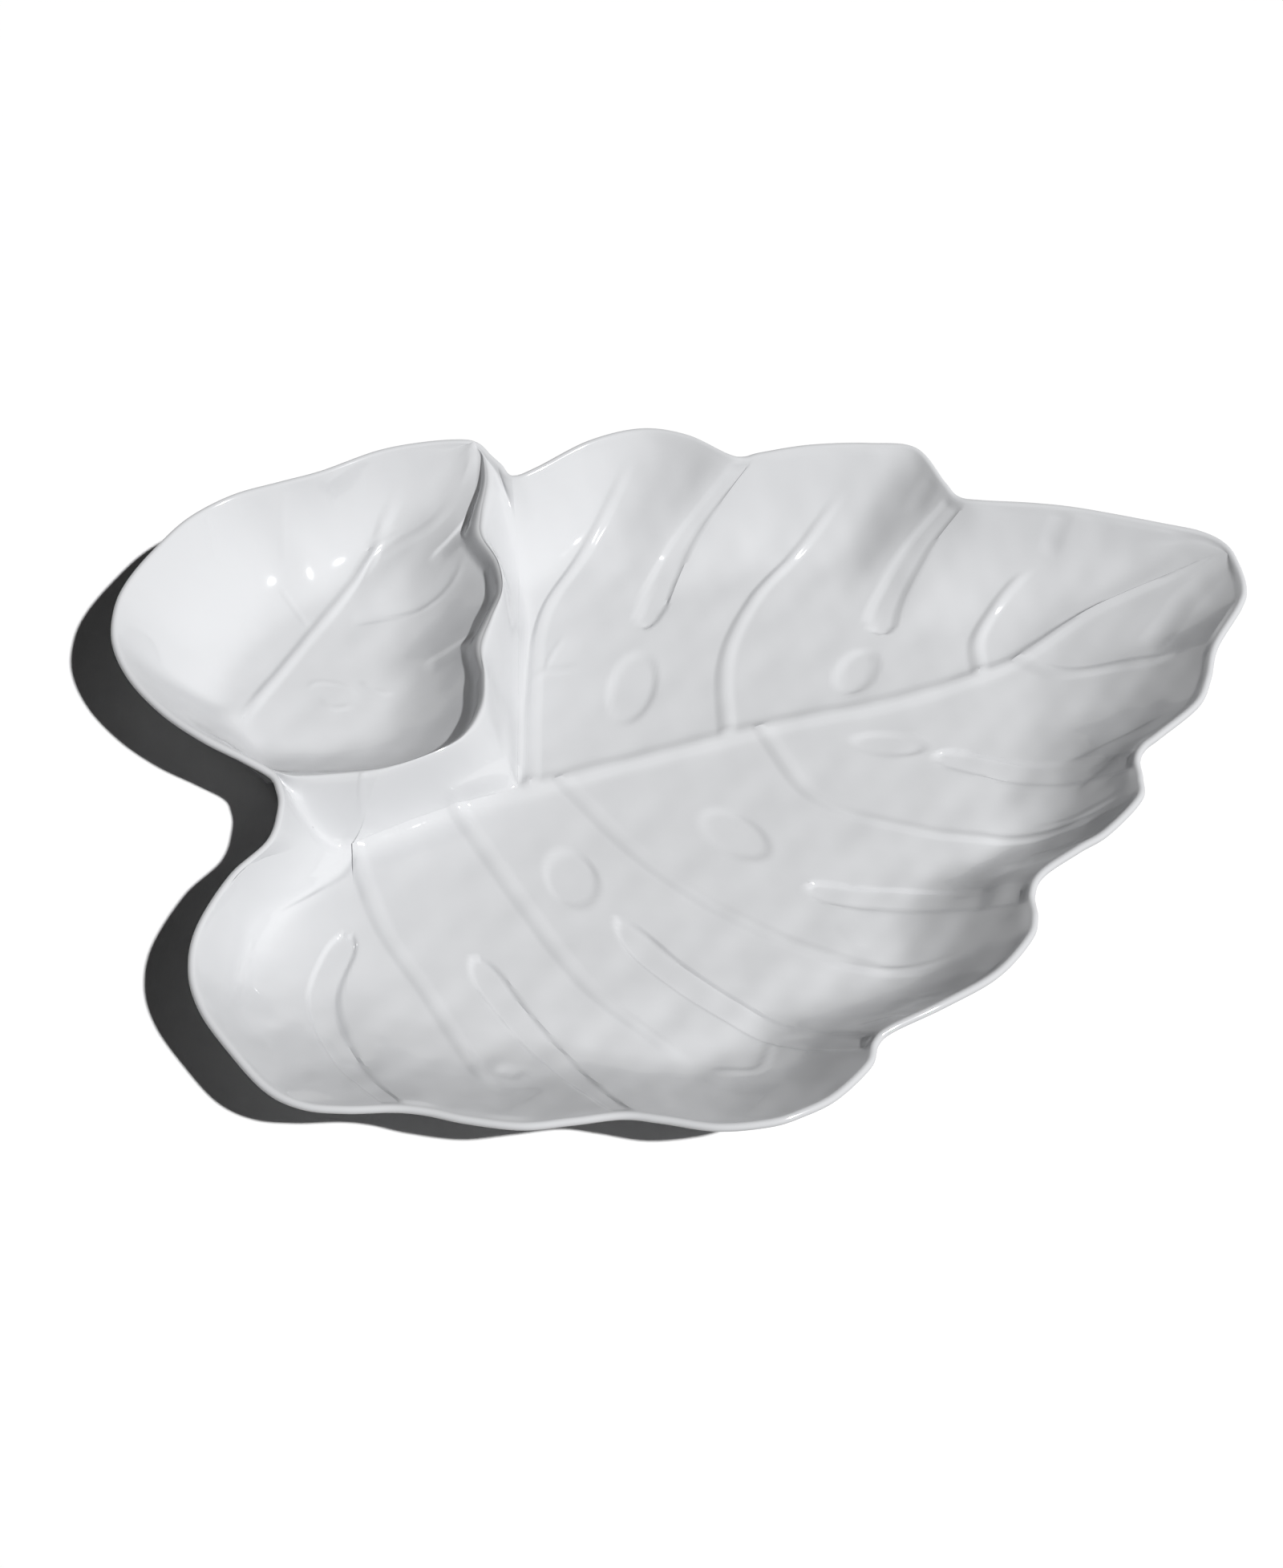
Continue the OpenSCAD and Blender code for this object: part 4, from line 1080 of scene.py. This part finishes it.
def add_node(tree, kind, inputs=None, links=None, **settings):
    node = tree.nodes.new(kind)
    for key, value in settings.items():
        setattr(node, key, value)
    for key, value in (inputs or {}).items():
        node.inputs[key].default_value = value
    for key, socket in (links or {}).items():
        tree.links.new(socket, node.inputs[key])
    return node


def melamine(name, colour, roughness, peel_mm=2.5):
    """A moulded white with a skin of orange peel that is so many millimetres across."""
    material = bpy.data.materials.new(name)
    material.use_nodes = True
    tree = material.node_tree
    body = tree.nodes["Principled BSDF"]
    body.inputs["Base Color"].default_value = linear(colour)
    body.inputs["Roughness"].default_value = roughness
    body.inputs["IOR"].default_value = 1.55
    where = add_node(tree, "ShaderNodeTexCoord")
    peel = add_node(tree, "ShaderNodeTexNoise", {"Scale": 1000 / peel_mm, "Detail": 1.0},
                    {"Vector": where.outputs["Object"]})
    skin = add_node(tree, "ShaderNodeBump", {"Strength": 0.05, "Distance": 0.0002},
                    {"Height": peel.outputs["Fac"]})
    tree.links.new(skin.outputs["Normal"], body.inputs["Normal"])
    return material


glossy_white = melamine("melamine_glossy_white", "#CBCCCE", 0.07)
foot_white = melamine("melamine_satin_white", "#C8C9CB", 0.35)
for piece in (large_leaf, small_leaf, divider, large_foot, small_foot):
    piece.data.materials.clear()
    piece.data.materials.append(foot_white if piece in (large_foot, small_foot) else glossy_white)
print("materials:", glossy_white.name, foot_white.name)

# %% [markdown]
# ## Floor, light and camera
# A product photograph of a white plate needs a white ground and a light from one side, or
# the relief would vanish. One hard key light, such as the sun, stands high on the right, in
# front, and a weak even sky fills the shade. The camera looks down at 54 degrees with a long
# lens.

# %% Floor
bpy.ops.mesh.primitive_plane_add(size=30)
floor = bpy.context.object
floor.name = "white_floor"
ground = bpy.data.materials.new("white_paper")
ground.use_nodes = True
paper = ground.node_tree
paper.nodes.remove(paper.nodes["Principled BSDF"])


def seen_directly(tree):
    """1 for what the camera, the gloss or a clear piece sees, 0 for scattered light."""
    path = add_node(tree, "ShaderNodeLightPath")
    seen = add_node(tree, "ShaderNodeMath", None, {0: path.outputs["Is Camera Ray"],
                    1: path.outputs["Is Glossy Ray"]}, operation="MAXIMUM")
    return add_node(tree, "ShaderNodeMath", None, {0: seen.outputs[0],
                    1: path.outputs["Is Transmission Ray"]}, operation="MAXIMUM").outputs[0]


# White where it is seen, and grey for the light it throws up under the plate
white_paper = add_node(paper, "ShaderNodeBsdfDiffuse", {"Color": linear("#FFFFFF")})
grey_paper = add_node(paper, "ShaderNodeBsdfDiffuse", {"Color": linear("#808080")})
sheen = add_node(paper, "ShaderNodeMixShader", None, {"Fac": seen_directly(paper),
                 1: grey_paper.outputs[0], 2: white_paper.outputs[0]})
paper.links.new(sheen.outputs[0], paper.nodes["Material Output"].inputs["Surface"])
floor.data.materials.append(ground)
print("floor:", floor.name)

# %% Light
# The light comes from the right and the front, as the shadows on the left tell
KEY_WAY = np.array([0.59, -0.418, 0.95])
KEY_WAY /= np.linalg.norm(KEY_WAY)
bpy.ops.object.light_add(type="SUN", location=KEY_WAY * 2)
key = bpy.context.object
key.name = "key_light"
key.data.angle = radians(1.6)
key.data.energy = 3.89
key.rotation_euler = (acos(KEY_WAY[2]), 0, atan2(KEY_WAY[1], KEY_WAY[0]) + pi / 2)
world = bpy.data.worlds.new("even_sky")
bpy.context.scene.world = world
world.use_nodes = True
sky = world.node_tree
fill = sky.nodes["Background"]
fill.inputs["Color"].default_value = (1, 1, 1, 1)
fill.inputs["Strength"].default_value = 0.02
# The camera and the gloss see a white room, and the shade gets only the weak fill
white = add_node(sky, "ShaderNodeBackground", {"Color": (1, 1, 1, 1), "Strength": 1.0})
room = add_node(sky, "ShaderNodeMixShader", None, {"Fac": seen_directly(sky),
                1: fill.outputs[0], 2: white.outputs[0]})
sky.links.new(room.outputs[0], sky.nodes["World Output"].inputs["Surface"])
print("key light strength", key.data.energy, "at", [round(float(v), 2) for v in key.location])

# %% Camera
ELEVATION = 54
bpy.ops.object.camera_add(location=(-0.01698, -0.60825, 0.85090),
                          rotation=(radians(90 - ELEVATION), 0, 0))
camera = bpy.context.object
camera.data.sensor_fit = "HORIZONTAL"
camera.data.sensor_width = 36
camera.data.lens = 72.77
camera.data.clip_start = 0.01
bpy.context.scene.camera = camera
bpy.context.scene.view_settings.view_transform = "Standard"
print("lens", camera.data.lens, "mm")
